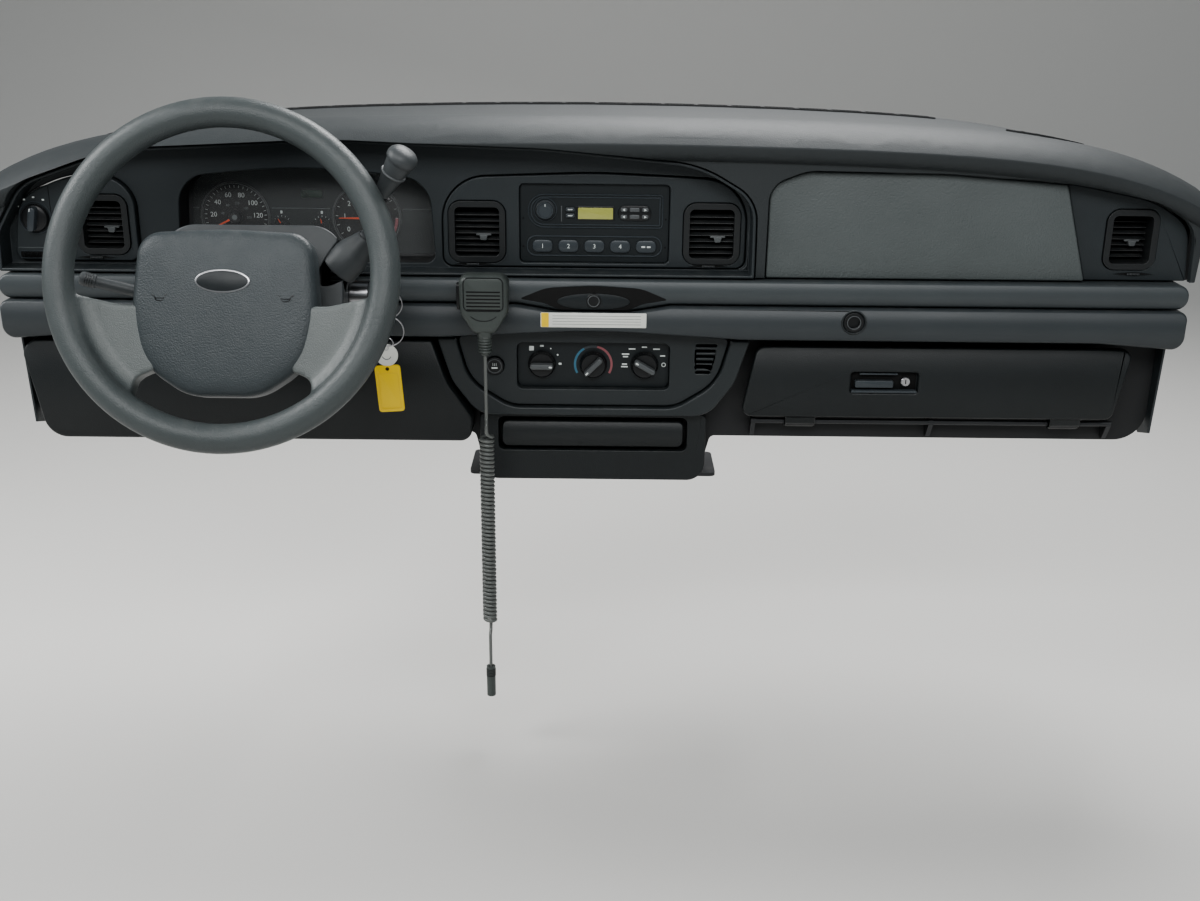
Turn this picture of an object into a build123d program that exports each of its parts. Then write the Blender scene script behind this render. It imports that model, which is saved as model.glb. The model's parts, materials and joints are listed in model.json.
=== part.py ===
from build123d import *
import math
import os

# Front instrument panel of a full-size patrol saloon, with its steering column and wheel.
# Millimetres. +X points to the passenger's side, +Y forwards to the engine, +Z up.
# The origin is the middle of the four bolt holes in the cross beam's end flanges.

os.makedirs("parts", exist_ok=True)

# Overall half width: every piece that reaches the doors takes its ends from it
DASH_HALF = 760.0

# Moulded carrier that the visible panels seat on
CARRIER_Y = -125.0  # its rear face, which every panel seats on
CARRIER_WALL = 5.0
CARRIER_HALF = DASH_HALF - 19.0
CARRIER_SPLIT = -41.0  # joint between its upper and lower mouldings
PANEL_WALL = 4.0  # wall of the visible mouldings
SEAT_GAP = 0.3  # between curved faces that seat on each other
RIB_GAP = 0.8  # under the padded top
PANEL_GAP = 1.5  # shut line between fixed panels
MOVING_GAP = 5.0  # room round anything that moves
RUNNING_GAP = 0.3  # round shafts, pins and runners

# Top pad: a padded sheet that rolls over into the fascia
PAD_WALL = 10.0
PAD_CREST_Y, PAD_CREST_Z = -95.0, 232.0  # where the flat top turns into the roll
PAD_NOSE_Y, PAD_NOSE_Z = -190.0, 208.0  # rearmost point of the roll
PAD_UNDER_Y, PAD_UNDER_Z = -175.0, 187.0  # where the roll meets the fascia
FASCIA_FOOT_Y, FASCIA_FOOT_Z = -166.0, 40.0
SCREEN_FALL = 10.0  # the windscreen edge below the crest
# Stations across the car: X, drop of the roll below its middle height, Y of the windscreen edge
PAD_STATIONS = [
    (-DASH_HALF, 80.0, 90.0),
    (110.0 - DASH_HALF, 37.0, 140.0),
    (-DASH_HALF / 2, 7.0, 190.0),
    (0.0, 0.0, 210.0),
    (DASH_HALF / 2, 7.0, 190.0),
    (DASH_HALF - 110.0, 37.0, 140.0),
    (DASH_HALF, 80.0, 90.0),
]
GRILLE_THICK = 2.5
GRILLE_HALF = DASH_HALF - 280.0
INSERT_X, INSERT_Y = DASH_HALF - 164.0, -20.0
INSERT_W, INSERT_D = 104.0, 34.0

# Bands below the pad
BAND_HALF = DASH_HALF - 8.0
RAIL_TOP, RAIL_FOOT, RAIL_FRONT = 38.0, 7.0, -176.0
EYE_HALF, EYE_DIP_HALF, EYE_DIP = 96.0, 46.0, 9.0
BUTTON_Z, BUTTON_R = 11.0, 9.5
BAND_FOOT, BAND_FRONT = -37.0, -182.0
BAND_ARCH = 11.0  # how far the band's lower edge arches up over the climate panel
SOCKET_X, SOCKET_Z, SOCKET_R = 330.0, -12.0, 13.0

# Centre stack, on the middle line
RADIO_W, RADIO_H, RADIO_Z = 190.0, 100.0, 102.0
RADIO_DEPTH = 130.0
PRESET_PITCH, PRESET_COUNT, PRESET_Z = 33.0, 5, 73.0
CENTRE_FRONT = -141.0
VENT_W, VENT_H, VENT_X, VENT_Z = 72.0, 78.0, 149.0, 91.0
VENT_DEPTH = 34.0  # barrel behind the carrier's face
CLIMATE_W, CLIMATE_H, CLIMATE_Z = 198.0, 62.0, -80.0
CLIMATE_FRONT = -158.0
KNOB_PITCH, KNOB_R = 67.0, 18.0
LIGHTER_X, LIGHTER_Z, LIGHTER_R = -128.0, -80.0, 12.0
SLOT_LEFT, SLOT_TOP, SLOT_PITCH, SLOT_ROWS = 133.0, -51.0, 7.2, 6
STACK_FRONT = -150.0
SURROUND_FRONT = -165.0
STACK_HALF = 150.0
STACK_TOP, STACK_FOOT = -147.0, -240.0
TRAY_W, TRAY_H, TRAY_DEPTH, TRAY_Z = 240.0, 36.0, 105.0, -175.5
SLEEVE_WALL = 2.5

# Driver's side
TRAY_LIP_FRONT = -170.0  # rear edge of the tray round the gauges
TRAY_FLOOR = -139.0
CLUSTER_X, CLUSTER_Z, CLUSTER_W, CLUSTER_H = -366.0, 108.0, 327.0, 116.0
CLUSTER_DEPTH = 68.0
LENS_Y = -96.0
DIAL_Y = -78.0
DIAL_R, DIAL_Z = 45.0, 96.5
DIAL_X = [-471.0, -299.0]
DIAL_AT_REST = (206.6, 180.0)  # where the needles point, in degrees
GAUGE_R, GAUGE_Z = 13.0, 86.5
GAUGE_X = [-411.0, -358.0]
SWITCH_FRONT = -146.0
HEADLAMP_X, HEADLAMP_Z, HEADLAMP_R = 54.0 - DASH_HALF, 104.0, 17.0
LEFT_VENT_X, LEFT_VENT_Z, END_VENT_W, END_VENT_H = 138.0 - DASH_HALF, 96.0, 66.0, 76.0

# Passenger's side
AIRBAG_FRONT = -164.0
SEAM_FOOT_X, SEAM_TOP_X = DASH_HALF - 140.0, DASH_HALF - 178.0  # seam between the airbag door and the end panel
END_FRONT = -156.0
RIGHT_VENT_X, RIGHT_VENT_Z = DASH_HALF - 84.0, 92.0
DOOR_LEFT, DOOR_RIGHT = 212.0, DASH_HALF - 60.0
DOOR_TOP, DOOR_FOOT = -50.0, -146.0
DOOR_RAKE = 18.0  # its left edge leans this far in at the foot
DOOR_FRONT = -160.0
DOOR_SKIN = 12.0
HINGE_Y, HINGE_Z = -143.0, -156.0
HINGE_R = 4.0
BIN_R, BIN_WALL = 96.0, 3.0  # the bin's back curves round the hinge
BIN_FLOOR = 14.0  # height of its underside over the hinge
BIN_BRIM = 62.0  # height of its open top over the hinge
BIN_LEFT, BIN_RIGHT = DOOR_LEFT + 22.0, DOOR_RIGHT - 36.0
LATCH_X, LATCH_Z, LATCH_W, LATCH_H = 380.0, -98.0, 88.0, 28.0

# Knee panel
KNEE_FRONT, KNEE_FOOT = -172.0, -180.0

# Steering column and wheel
WHEEL_X, WHEEL_Y, WHEEL_Z = -410.0, -380.0, 83.0
COLUMN_ANGLE = 20.0  # slope of the column below the horizontal
RIM_R, RIM_TUBE = 181.0, 17.0
HUB_W = 208.0
HUB_TOP, HUB_FOOT = 49.0, -134.0
HUB_FRONT, HUB_BACK = -4.0, -42.0
BACK_COVER_END = -64.0
SPOKE_FRONT, SPOKE_BACK, SPOKE_FLAT_R = -8.0, -34.0, 150.0
SPOKE_ROOT, SPOKE_TOP = 74.0, -32.0
SHROUD_START, SHROUD_END = -76.0, -190.0
SHROUD_W, SHROUD_H = 212.0, 128.0
SHROUD_X, SHROUD_UP = 14.0, 6.0  # its middle against the column's axis
SHROUD_WALL = 3.0
HEAD_PLATE_W, HEAD_PLATE_H = 150.0, 78.0  # casting plates inside the shroud
LOCK_Y, LOCK_Z, LOCK_R, LOCK_PROUD = -252.0, 34.0, 16.0, 21.0
TAG_Y, TAG_T = -242.5, 2.0
STALK_ROUTE = [(-486.0, -288.0, 32.0), (-530.0, -292.0, 42.0), (-594.0, -306.0, 62.0)]
STALK_R = 7.0
LEVER_ROUTE = [(-300.0, -286.0, 70.0), (-268.0, -286.0, 104.0), (-236.0, -318.0, 170.0), (-212.0, -330.0, 208.0)]
LEVER_R, COLLAR_R, COLLAR_SEAT, COLLAR_LONG = 6.0, 22.0, 24.0, 58.0
KNOB_END_R, KNOB_LONG = 17.0, 56.0
TILT_AT = -206.0  # tilt pivot, along the column from the wheel's centre
HEAD_R = 20.0
TRUNNION_R = 6.0
EAR_IN, EAR_OUT = 23.0, 29.0
SHAFT_R = 9.5
JACKET_R, JACKET_WALL = 22.0, 3.0
JACKET_START = -226.0
COLUMN_END = -560.0
SHAFT_END, SHAFT_END_R = -598.0, 8.5

# Cross beam
BEAM_R, BEAM_WALL = 25.0, 2.5
BEAM_Y, BEAM_Z = -29.0, 15.0
BEAM_HALF = DASH_HALF - 22.0
FLANGE_W, FLANGE_H, FLANGE_T = 56.0, 116.0, 6.0
BOLT_R = 4.5
FLANGE_X, FLANGE_BOLT_Z = BEAM_HALF - 32.0, 50.0
BRACKET_X = [200.0 - DASH_HALF, -186.0, 186.0, DASH_HALF - 200.0]
BRACKET_T = 4.0
BRACKET_TOP, BRACKET_FOOT = 36.0, -34.0
LEG_X, LEG_W, LEG_D = 142.0, 26.0, 30.0
FOOT_Z, FOOT_T, FOOT_W, FOOT_D = -262.0, 5.0, 60.0, 90.0
FOOT_BOLT_Y = 30.0

# Hand microphone and its lead
MIC_X, MIC_Y = -135.5, -211.0
MIC_W, MIC_H, MIC_T = 62.0, 72.0, 28.0
MIC_TOP = 52.0
LEAD_R, COIL_R = 2.3, 10.0
COIL_TOP, COIL_FOOT = -160.0, -420.0
PLUG_TOP, PLUG_FOOT = -490.0, -534.0


def save(builder, name):
    builder.part.label = name
    export_step(builder.part, f"parts/{name}.step")


def across(y):
    """A plane across the car at this Y: its x is X, its y is Z, and it faces the driver."""
    return Plane.XZ.offset(-y)


def rounded(x, z, width, height, radius):
    """Corner rows of a rounded rectangle centred at x, z."""
    half_w, half_h = width / 2, height / 2
    corners = [(-half_w, -half_h), (half_w, -half_h), (half_w, half_h), (-half_w, half_h)]
    return [(x + dx, z + dz, radius) for dx, dz in corners]


def corner_radii(rows):
    """Each corner's radius, limited to what the edges beside it have room for."""
    radii = []
    for index, (x, y, radius) in enumerate(rows):
        before, after = rows[index - 1], rows[(index + 1) % len(rows)]
        arrive = Vector(x - before[0], y - before[1])
        leave = Vector(after[0] - x, after[1] - y)
        half_turn = math.radians(arrive.get_angle(leave)) / 2
        room = 0.48 * min(arrive.length, leave.length)
        radii.append(min(radius, room / math.tan(half_turn)))
    return radii


def profile(plane, rows, grow=0.0):
    """A face from rows of corner x, corner y and corner radius, grown by an offset."""
    with BuildSketch(plane) as face:
        with BuildLine():
            FilletPolyline(*[(x, y) for x, y, _ in rows], radius=corner_radii(rows), close=True)
        make_face()
        if grow:
            offset(amount=grow)
    return face.sketch


def block(rows, back, front, grow=0.0, taper=0.0, mode=Mode.ADD):
    """The outline's solid between two Y values, of which front is nearer the driver."""
    extrude(profile(across(back), rows, grow), amount=back - front, taper=taper, mode=mode)


def moulding(rows, front, grow=0.0, wall=PANEL_WALL):
    """A panel with a flange all round that reaches back to the carrier."""
    block(rows, CARRIER_Y, front, grow)
    block(rows, CARRIER_Y, front + wall, grow - wall, mode=Mode.SUBTRACT)


def window(rows, front, grow=0.0, wall=PANEL_WALL):
    """A hole through a moulding, walled back to the carrier."""
    block(rows, CARRIER_Y, front, grow + wall)
    block(rows, CARRIER_Y + 1, front - 1, grow, mode=Mode.SUBTRACT)


def on_column(along, x=0.0, up=0.0):
    """A plane across the column: its normal points up the column at the driver."""
    slope = math.radians(COLUMN_ANGLE)
    lean, rise = math.cos(slope), math.sin(slope)
    origin = (WHEEL_X + x, WHEEL_Y - along * lean + up * rise, WHEEL_Z + along * rise + up * lean)
    return Plane(origin=origin, x_dir=(1, 0, 0), z_dir=(0, -lean, rise))


def tube_on_column(radius, start, end, mode=Mode.ADD):
    """A round bar on the column's axis, between two stations."""
    with BuildSketch(on_column(start)) as ring:
        Circle(radius)
    extrude(ring.sketch, amount=end - start, mode=mode)


# Outlines seen from the driver's seat: corner X, corner Z, corner radius
DRIVER_OPENING = [
    (-BAND_HALF, 38.5, 4.0),
    (204.0, 38.5, 4.0),
    (203.0, 140.0, 50.0),
    (130.0, 183.0, 150.0),
    (-60.0, 201.0, 600.0),
    (-330.0, 209.0, 900.0),
    (170.0 - DASH_HALF, 195.0, 300.0),
    (48.0 - DASH_HALF, 152.0, 60.0),
    (10.0 - DASH_HALF, 90.0, 40.0),
]
PASSENGER_OPENING = [
    (216.0, 38.5, 4.0),
    (DASH_HALF - 6.0, 38.5, 4.0),
    (DASH_HALF - 12.0, 112.0, 45.0),
    (DASH_HALF - 60.0, 142.0, 120.0),
    (DASH_HALF - 160.0, 162.0, 400.0),
    (440.0, 174.0, 600.0),
    (262.0, 176.0, 60.0),
    (216.0, 158.0, 30.0),
]
AIRBAG_SIDE = [
    (100.0, 0.0, 1.0),
    (SEAM_FOOT_X + 12.0, 0.0, 1.0),
    (SEAM_TOP_X - 4.0, 190.0, 1.0),
    (100.0, 190.0, 1.0),
]
CLUSTER_OPENING = [
    (CLUSTER_X - CLUSTER_W / 2, CLUSTER_Z - CLUSTER_H / 2, 12.0),
    (CLUSTER_X + CLUSTER_W / 2, CLUSTER_Z - CLUSTER_H / 2, 12.0),
    (CLUSTER_X + CLUSTER_W / 2 - 6.0, CLUSTER_Z + CLUSTER_H / 2 - 10.0, 40.0),
    (CLUSTER_X, CLUSTER_Z + CLUSTER_H / 2 + 6.0, 900.0),
    (CLUSTER_X - CLUSTER_W / 2 + 6.0, CLUSTER_Z + CLUSTER_H / 2 - 10.0, 40.0),
]
CENTRE_PANEL = [
    (-192.0, 47.0, 12.0),
    (192.0, 47.0, 12.0),
    (192.0, 158.0, 60.0),
    (0.0, 166.0, 900.0),
    (-192.0, 158.0, 60.0),
]
SWITCH_PANEL = [
    (22.0 - DASH_HALF, 50.0, 12.0),
    (180.0 - DASH_HALF, 50.0, 12.0),
    (180.0 - DASH_HALF, 152.0, 50.0),
    (105.0 - DASH_HALF, 160.0, 200.0),
    (34.0 - DASH_HALF, 128.0, 50.0),
]
CLIMATE_PANEL = [
    (-176.0, -41.0, 6.0),
    (-160.0, -100.0, 60.0),
    (-108.0, -133.0, 50.0),
    (108.0, -133.0, 50.0),
    (160.0, -100.0, 60.0),
    (176.0, -41.0, 6.0),
    (0.0, -28.0, 500.0),
]
SURROUND = [
    (-202.0, BAND_FOOT - 5.0, 3.0),
    (-184.0, -100.0, 60.0),
    (-150.0, STACK_TOP + PANEL_GAP, 40.0),
    (150.0, STACK_TOP + PANEL_GAP, 40.0),
    (184.0, -100.0, 60.0),
    (202.0, BAND_FOOT - 5.0, 3.0),
]
RAIL = [
    (-BAND_HALF, RAIL_TOP, 14.0),
    (-BAND_HALF, RAIL_FOOT, 14.0),
    (-EYE_HALF, RAIL_FOOT, 40.0),
    (-EYE_DIP_HALF, RAIL_FOOT - EYE_DIP, 30.0),
    (EYE_DIP_HALF, RAIL_FOOT - EYE_DIP, 30.0),
    (EYE_HALF, RAIL_FOOT, 40.0),
    (BAND_HALF, RAIL_FOOT, 14.0),
    (BAND_HALF, RAIL_TOP, 14.0),
]
BAND = [
    (-BAND_HALF, RAIL_FOOT - PANEL_GAP, 12.0),
    (-BAND_HALF, BAND_FOOT - 8.0, 16.0),
    (-BAND_HALF + 110.0, BAND_FOOT, 200.0),
    (-190.0, BAND_FOOT, 200.0),
    (0.0, BAND_FOOT + BAND_ARCH, 900.0),
    (190.0, BAND_FOOT, 200.0),
    (BAND_HALF - 110.0, BAND_FOOT, 200.0),
    (BAND_HALF, BAND_FOOT - 8.0, 16.0),
    (BAND_HALF, RAIL_FOOT - PANEL_GAP, 12.0),
    (EYE_HALF + 1.0, RAIL_FOOT - PANEL_GAP, 40.0),
    (EYE_DIP_HALF, RAIL_FOOT - EYE_DIP - PANEL_GAP, 30.0),
    (-EYE_DIP_HALF, RAIL_FOOT - EYE_DIP - PANEL_GAP, 30.0),
    (-EYE_HALF - 1.0, RAIL_FOOT - PANEL_GAP, 40.0),
]
KNEE_PANEL = [
    (22.0 - DASH_HALF, BAND_FOOT - 12.0, 20.0),
    (46.0 - DASH_HALF, KNEE_FOOT, 30.0),
    (-158.0, KNEE_FOOT, 16.0),
    (-158.0, STACK_TOP, 20.0),
    (-190.0, -100.0, 60.0),
    (-208.0, BAND_FOOT - 7.0, 4.0),
    (-250.0, BAND_FOOT - 7.0, 200.0),
]
LOWER_CENTRE = [
    (-STACK_HALF, STACK_FOOT, 24.0),
    (STACK_HALF, STACK_FOOT, 24.0),
    (STACK_HALF, STACK_TOP, 8.0),
    (-STACK_HALF, STACK_TOP, 8.0),
]
GLOVE_DOOR = [
    (DOOR_LEFT, DOOR_TOP, 14.0),
    (DOOR_LEFT - DOOR_RAKE, DOOR_FOOT, 12.0),
    (DOOR_RIGHT - DOOR_RAKE, DOOR_FOOT, 12.0),
    (DOOR_RIGHT, DOOR_TOP, 14.0),
]
CARRIER = [
    (-CARRIER_HALF, KNEE_FOOT - 2.0, 40.0),
    (-STACK_HALF - 8.0, KNEE_FOOT - 2.0, 8.0),
    (-STACK_HALF + 4.0, STACK_FOOT + 8.0, 16.0),
    (STACK_HALF - 4.0, STACK_FOOT + 8.0, 16.0),
    (STACK_HALF + 8.0, HINGE_Z - 28.0, 8.0),
    (CARRIER_HALF, HINGE_Z - 28.0, 40.0),
    (CARRIER_HALF, 112.0, 30.0),
    (DASH_HALF - 110.0, 156.0, 300.0),
    (DASH_HALF / 2, 188.0, 600.0),
    (0.0, 198.0, 2000.0),
    (-DASH_HALF / 2, 188.0, 600.0),
    (110.0 - DASH_HALF, 156.0, 300.0),
    (-CARRIER_HALF, 112.0, 30.0),
]
BIN_WINDOW = rounded(
    (BIN_LEFT + BIN_RIGHT) / 2,
    HINGE_Z + (BIN_R + BIN_FLOOR) / 2,
    BIN_RIGHT - BIN_LEFT + 2 * MOVING_GAP + 2.0,
    BIN_R - BIN_FLOOR + 2 * MOVING_GAP + 2.0,
    6.0,
)
TRAY_RECESS = rounded(0.0, TRAY_Z, TRAY_W + 2 * MOVING_GAP, TRAY_H + 2 * MOVING_GAP, 8.0)
VENTS = {
    "left_vent": (LEFT_VENT_X, LEFT_VENT_Z, END_VENT_W, END_VENT_H, SWITCH_FRONT),
    "left_centre_vent": (-VENT_X, VENT_Z, VENT_W, VENT_H, CENTRE_FRONT),
    "right_centre_vent": (VENT_X, VENT_Z, VENT_W, VENT_H, CENTRE_FRONT),
    "right_vent": (RIGHT_VENT_X, RIGHT_VENT_Z, END_VENT_W, END_VENT_H, END_FRONT),
}
VENT_FRAME = 6.0  # the barrel is this much smaller than the frame each side
SLAT_T, SLAT_TILT, SLATS = 1.6, 20.0, 7


def column_notch(front):
    """Opens a moulding for the column's jacket."""
    half = EAR_OUT + MOVING_GAP
    rows = rounded(WHEEL_X, 0.0, 2 * half, 2 * half + 40.0, 3.0)
    block(rows, CARRIER_Y + CARRIER_WALL + 1, front - 1, mode=Mode.SUBTRACT)


# Top pad
with BuildPart() as top_pad:
    for x, drop, screen_y in PAD_STATIONS:
        crest = (PAD_CREST_Y, PAD_CREST_Z - drop)
        nose = (PAD_NOSE_Y, PAD_NOSE_Z - drop)
        under = (PAD_UNDER_Y, PAD_UNDER_Z - drop)
        foot = (FASCIA_FOOT_Y, FASCIA_FOOT_Z)
        screen = (screen_y, PAD_CREST_Z - SCREEN_FALL - drop)
        with BuildSketch(Plane.YZ.offset(x)):
            with BuildLine():
                Line(screen, crest)
                ThreePointArc(crest, (-160.0, 226.0 - drop), nose)
                ThreePointArc(nose, (-186.0, 195.0 - drop), under)
                Polyline(
                    under,
                    foot,
                    (foot[0] + PAD_WALL, foot[1]),
                    (under[0] + PAD_WALL + 2, under[1] - 2),
                    (crest[0], crest[1] - PAD_WALL),
                    (screen[0], screen[1] - PAD_WALL),
                    screen,
                )
            make_face()
    loft()
    block(DRIVER_OPENING, CARRIER_Y + 1.0, PAD_NOSE_Y - 1.0, mode=Mode.SUBTRACT)
    block(PASSENGER_OPENING, CARRIER_Y + 1.0, PAD_NOSE_Y - 1.0, mode=Mode.SUBTRACT)
save(top_pad, "top_pad")


def pad_layer(low, high, inset_from, inset_to):
    """A sheet that follows the pad's top, between two heights above it and two insets
    forwards of the crest, given as shares of the way to the windscreen edge."""
    sections = []
    for x, drop, screen_y in PAD_STATIONS:
        run = screen_y - PAD_CREST_Y
        rows = []
        for share, height in ((inset_from, low), (inset_to, low), (inset_to, high), (inset_from, high)):
            y = PAD_CREST_Y + run * share
            rows.append((y, PAD_CREST_Z - drop - SCREEN_FALL * share + height))
        with BuildSketch(Plane.YZ.offset(x)) as section:
            with BuildLine():
                Polyline(*rows, close=True)
            make_face()
        sections.append(section.sketch)
    loft(sections)


# Defroster grille along the windscreen edge, and the side demister inserts
with BuildPart() as defroster_grille:
    pad_layer(SEAT_GAP, GRILLE_THICK, 0.80, 0.90)
    with BuildSketch(Plane.XY.offset(PAD_CREST_Z - 60.0)):
        Rectangle(2 * GRILLE_HALF, 400)
    extrude(amount=120, mode=Mode.INTERSECT)
    with BuildSketch(Plane.XY.offset(PAD_CREST_Z - 60.0)):
        with GridLocations(48.0, 1.0, 20, 1):
            with Locations((0.0, 160.0)):
                Rectangle(38.0, 12.0)
    extrude(amount=120, mode=Mode.SUBTRACT)
save(defroster_grille, "defroster_grille")

with BuildPart() as demister_inserts:
    pad_layer(SEAT_GAP, GRILLE_THICK, 0.0, 0.8)
    with BuildSketch(Plane.XY.offset(PAD_CREST_Z - 90.0)):
        with Locations((INSERT_X, INSERT_Y), (-INSERT_X, INSERT_Y)):
            SlotOverall(INSERT_W, INSERT_D)
            with GridLocations(20.0, 1.0, 4, 1):
                SlotOverall(22.0, 6.0, rotation=70, mode=Mode.SUBTRACT)
    extrude(amount=150, mode=Mode.INTERSECT)
save(demister_inserts, "demister_inserts")

# Moulded carrier behind the visible panels, in an upper and a lower moulding
CARRIER_BACK, CARRIER_CUT = CARRIER_Y + CARRIER_WALL + 1, CARRIER_Y - 1
with BuildPart() as carrier:
    block(CARRIER, CARRIER_Y + CARRIER_WALL, CARRIER_Y)
    block(CLUSTER_OPENING, CARRIER_BACK, CARRIER_CUT, grow=PANEL_WALL + SEAT_GAP, mode=Mode.SUBTRACT)
    radio_window = rounded(0.0, RADIO_Z, RADIO_W - 8.0, RADIO_H - 8.0, 4.0)
    block(radio_window, CARRIER_BACK, CARRIER_CUT, grow=SEAT_GAP, mode=Mode.SUBTRACT)
    for x, z, width, height, _ in VENTS.values():
        barrel = rounded(x, z, width - 2 * VENT_FRAME, height - 2 * VENT_FRAME, 8.0)
        block(barrel, CARRIER_BACK, CARRIER_CUT, grow=SEAT_GAP, mode=Mode.SUBTRACT)
    column_notch(CARRIER_Y)
    with BuildSketch(Plane.XY.offset(CARRIER_SPLIT)):
        Rectangle(2 * DASH_HALF, 1000)
    extrude(amount=-400, mode=Mode.SUBTRACT)
    # a rib under the pad at each station
    for x, drop, screen_y in PAD_STATIONS[1:-1]:
        reach = screen_y - 20.0
        fall = SCREEN_FALL * (reach - PAD_CREST_Y) / (screen_y - PAD_CREST_Y)
        under_pad = PAD_CREST_Z - PAD_WALL - drop - RIB_GAP
        with BuildSketch(Plane.YZ.offset(x - PANEL_WALL / 2)):
            with BuildLine():
                Polyline(
                    (CARRIER_Y + CARRIER_WALL, 182.0 - drop),
                    (-70.0, 190.0 - drop),
                    (reach, 194.0 - drop),
                    (reach, under_pad - fall),
                    (PAD_CREST_Y, under_pad),
                    (CARRIER_Y + CARRIER_WALL, under_pad - 16.0),
                    close=True,
                )
            make_face()
        extrude(amount=PANEL_WALL)
save(carrier, "carrier")

with BuildPart() as lower_carrier:
    block(CARRIER, CARRIER_Y + CARRIER_WALL, CARRIER_Y)
    block(BIN_WINDOW, CARRIER_BACK, CARRIER_CUT, mode=Mode.SUBTRACT)
    sleeve_window = rounded(0.0, TRAY_Z, TRAY_W + 2 * SLEEVE_WALL, TRAY_H + 2 * SLEEVE_WALL, 4.0)
    block(sleeve_window, CARRIER_BACK, CARRIER_CUT, grow=SEAT_GAP, mode=Mode.SUBTRACT)
    column_notch(CARRIER_Y)
    with BuildSketch(Plane.XY.offset(CARRIER_SPLIT)):
        Rectangle(2 * DASH_HALF, 1000)
    extrude(amount=400, mode=Mode.SUBTRACT)
save(lower_carrier, "lower_carrier")

# Cross beam: tube, end flanges, and a bracket to the carrier at four places
with BuildPart() as cross_beam:
    with BuildSketch(Plane.YZ.offset(-BEAM_HALF)):
        with Locations((BEAM_Y, BEAM_Z)):
            Circle(BEAM_R)
    extrude(amount=2 * BEAM_HALF)
    for side in (-1, 1):
        flange = rounded(side * FLANGE_X, 0.0, FLANGE_W, FLANGE_H, 8.0)
        block(flange, 0.0, -FLANGE_T)
    for x in BRACKET_X:
        with BuildSketch(Plane.YZ.offset(x - BRACKET_T / 2)):
            with BuildLine():
                Polyline(
                    (CARRIER_Y + CARRIER_WALL, BRACKET_FOOT),
                    (BEAM_Y, BEAM_Z - BEAM_R + 4.0),
                    (BEAM_Y, BEAM_Z + BEAM_R - 4.0),
                    (CARRIER_Y + CARRIER_WALL, BRACKET_TOP),
                    close=True,
                )
            make_face()
        extrude(amount=BRACKET_T)
        pad = rounded(x, (BRACKET_TOP + BRACKET_FOOT) / 2, 36.0, BRACKET_TOP - BRACKET_FOOT, 6.0)
        block(pad, CARRIER_Y + CARRIER_WALL + BRACKET_T, CARRIER_Y + CARRIER_WALL)
    with BuildSketch(Plane.YZ.offset(-BEAM_HALF - 1)):
        with Locations((BEAM_Y, BEAM_Z)):
            Circle(BEAM_R - BEAM_WALL)
    extrude(amount=2 * BEAM_HALF + 2, mode=Mode.SUBTRACT)
    with BuildSketch(across(1.0)):
        with GridLocations(2 * FLANGE_X, 2 * FLANGE_BOLT_Z, 2, 2):
            Circle(BOLT_R)
    extrude(amount=FLANGE_T + 2, mode=Mode.SUBTRACT)
save(cross_beam, "cross_beam")

# Legs from the beam down to the floor tunnel
with BuildPart() as tunnel_brace:
    for side in (-1, 1):
        with BuildSketch(Plane.XY.offset(FOOT_Z)):
            with Locations((side * LEG_X, BEAM_Y)):
                RectangleRounded(LEG_W, LEG_D, 4)
                RectangleRounded(LEG_W - 5, LEG_D - 5, 2, mode=Mode.SUBTRACT)
        extrude(amount=BEAM_Z - FOOT_Z)
        with BuildSketch(Plane.XY.offset(FOOT_Z)):
            with Locations((side * LEG_X, BEAM_Y)):
                RectangleRounded(FOOT_W, FOOT_D, 8)
                with GridLocations(1.0, 2 * FOOT_BOLT_Y, 1, 2):
                    Circle(BOLT_R, mode=Mode.SUBTRACT)
        extrude(amount=FOOT_T)
    with BuildSketch(Plane.YZ.offset(-BEAM_HALF)):
        with Locations((BEAM_Y, BEAM_Z)):
            Circle(BEAM_R + 0.05)
    extrude(amount=2 * BEAM_HALF, mode=Mode.SUBTRACT)
    with BuildSketch(Plane.XY.offset(BEAM_Z)):
        Rectangle(600, 600)
    extrude(amount=60, mode=Mode.SUBTRACT)
save(tunnel_brace, "tunnel_brace")

# Air duct between the vents
with BuildPart() as air_duct:
    with BuildSketch(Plane.YZ.offset(LEFT_VENT_X - 27.0)):
        with Locations((52.0, 96.0)):
            RectangleRounded(64.0, 72.0, 14)
    extrude(amount=RIGHT_VENT_X - LEFT_VENT_X + 54.0)
    for x, z, width, height, _ in VENTS.values():
        barrel = rounded(x, z, width - 2 * VENT_FRAME, height - 2 * VENT_FRAME, 8.0)
        block(barrel, 40.0, CARRIER_Y + VENT_DEPTH)
save(air_duct, "air_duct")

# End caps close the panel beside the doors
with BuildPart() as end_caps:
    for side in (-1, 1):
        plane = Plane.YZ.offset(side * CARRIER_HALF - (0 if side > 0 else 3.0))
        with BuildSketch(plane):
            with BuildLine():
                Polyline(
                    (CARRIER_Y + 20.0, KNEE_FOOT),
                    (CARRIER_Y - 14.0, KNEE_FOOT + 10.0),
                    (CARRIER_Y - 24.0, BAND_FOOT - 12.0),
                    (CARRIER_Y, BAND_FOOT - 8.0),
                    (CARRIER_Y, 110.0),
                    (CARRIER_Y + 20.0, 128.0),
                    (20.0, 124.0),
                    (10.0, 60.0),
                    (-70.0, 60.0),
                    (-70.0, -60.0),
                    (-60.0, KNEE_FOOT + 20.0),
                    close=True,
                )
            make_face()
        extrude(amount=3.0)
save(end_caps, "end_caps")

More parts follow.
